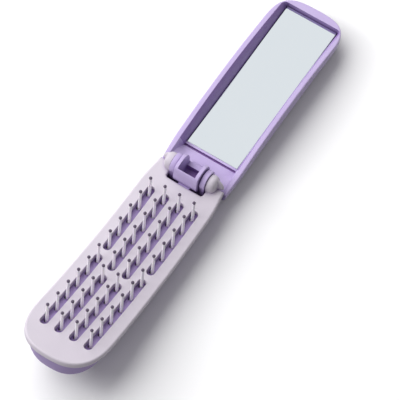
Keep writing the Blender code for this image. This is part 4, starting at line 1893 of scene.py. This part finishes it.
@dataclass
class Studio:
    """A pale floor, soft light and the camera."""

    glass_top: float
    aim: Flat = (0.0076, 0.0153)
    azimuth: float = 33.86
    elevation: float = 62.10
    roll: float = -0.85
    distance: float = 1.4983
    lens: float = 315.0
    floor_white: float = 0.96
    floor_bounce: float = 0.30
    key_energy: float = 38.0
    key_size: Flat = (3.2, 1.8)
    key_from: Point = (-0.95, 0.05, 1.25)
    glint_energy: float = 4.0
    glint_size: float = 0.45
    glint_from: Point = (-1.25, -0.50, 0.85)
    world_strength: float = 0.34
    world_colour: tuple[float, float, float, float] = (0.965, 0.955, 1.0, 1.0)

    @property
    def look_at(self) -> Vector:
        """The point that the camera and the lights face."""
        return Vector((*self.aim, self.glass_top))

    def build(self) -> None:
        """Builds the floor, the lights, the world and the camera."""
        self.floor()
        self.lights()
        self.world()
        self.camera()
        bpy.context.scene.view_settings.view_transform = "Standard"

    def floor(self) -> None:
        """The pale floor, which shows white away from the shadow."""
        bm = bmesh.new()
        bmesh.ops.create_grid(bm, x_segments=1, y_segments=1, size=6.0)
        sheet = ShaderSheet(bpy.data.materials.new("floor_white"))
        colour = sheet.span(sheet.seen(), self.floor_bounce, self.floor_white)
        floor = piece(bm, "floor", sheet.finish(sheet.node("ShaderNodeBsdfDiffuse", Color=colour)))
        if floor.data.polygons[0].normal.z < 0:
            floor.data.flip_normals()

    def lamp(self, name: str, sizes: Flat, energy: float, offset: Point) -> Object:
        """An elliptical area light that faces the object.

        Args:
            name: The light's name.
            sizes: Its width and height.
            energy: Its power in watts.
            offset: Where it is, seen from the object.

        Returns:
            The light.
        """
        data = bpy.data.lights.new(name, "AREA")
        data.shape = "ELLIPSE"
        data.size, data.size_y = sizes
        data.energy = energy
        lamp = placed(name, data)
        lamp.location = self.look_at + Vector(offset)
        lamp.rotation_euler = (-Vector(offset)).to_track_quat("-Z", "Y").to_euler()
        return lamp

    def lights(self) -> None:
        """One broad soft key, and a small glint that gives the tips their highlights."""
        key = self.lamp("key", self.key_size, self.key_energy, self.key_from)
        key.visible_glossy = False
        self.lamp("glint", (self.glint_size, self.glint_size), self.glint_energy, self.glint_from)

    def world(self) -> None:
        """A pale world, brighter where the camera or a reflection meets it."""
        sheet = ShaderSheet(bpy.data.worlds.new("studio"))
        soft = sheet.node(
            "ShaderNodeBackground", Color=self.world_colour, Strength=self.world_strength
        )
        bright = sheet.node("ShaderNodeBackground", Color=(0.8, 0.8, 0.8, 1.0), Strength=1.0)
        mix = sheet.node("ShaderNodeMixShader", Fac=sheet.seen())
        sheet.give(mix, 1, soft.outputs[0])
        sheet.give(mix, 2, bright.outputs[0])
        bpy.context.scene.world = sheet.finish(mix)

    def camera(self) -> None:
        """The camera at the photograph's angle."""
        azimuth, elevation = math.radians(self.azimuth), math.radians(self.elevation)
        back = Vector((
            math.sin(azimuth) * math.cos(elevation),
            -math.cos(azimuth) * math.cos(elevation),
            math.sin(elevation),
        ))
        right = Vector((math.cos(azimuth), math.sin(azimuth), 0))
        up = back.cross(right)
        roll = math.radians(self.roll)
        across = right * math.cos(roll) + up * math.sin(roll)
        upward = up * math.cos(roll) - right * math.sin(roll)
        data = bpy.data.cameras.new("camera")
        data.lens = self.lens
        data.sensor_width = 36.0
        data.clip_start = 0.1
        data.clip_end = 20.0
        camera = placed("camera", data)
        turn = Matrix((across, upward, back)).transposed().to_4x4()
        camera.matrix_world = Matrix.Translation(self.look_at + back * self.distance) @ turn
        bpy.context.scene.camera = camera


def dress_nodes(nodes: dict[str, Object], finishes: Finishes) -> None:
    """Gives the CAD nodes that stay in view their finishes.

    Args:
        nodes: The CAD nodes by name.
        finishes: The object's materials.
    """
    worn = {
        "hinge_pin_left": (finishes.pin, Slot.PIN),
        "hinge_pin_right": (finishes.pin, Slot.PIN),
        "mirror_pad": (finishes.pad, Slot.PAD),
    }
    for name, (material, slot) in worn.items():
        nodes[name].data.materials.clear()
        nodes[name].data.materials.append(material)


def corners(box: tuple[Vector, Vector]) -> list[list[float]]:
    """A box as plain lists."""
    return [list(corner) for corner in box]


def main() -> None:
    logging.basicConfig(level=logging.INFO, format="%(name)s: %(message)s")
    for obj in list(bpy.data.objects):
        bpy.data.objects.remove(obj)
    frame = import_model()
    hinge_joint = next(j for j in frame["joints"] if j["name"] == "mirror_hinge")
    hinge = Vector(hinge_joint["pos_m"])
    bow = Bow(hinge.y, hinge.z, math.radians(hinge_joint["range_deg"][1]))
    finishes = Finishes.make()
    comb = CombHalf(bow, hinge, finishes)
    comb.build()
    ToothCarrier(comb, finishes).build()
    mirror = MirrorHalf(bow, hinge, finishes)
    mirror.build()
    dress_nodes(frame["nodes"], finishes)
    Studio(mirror.glass_top).build()


if __name__ == "__main__":
    main()
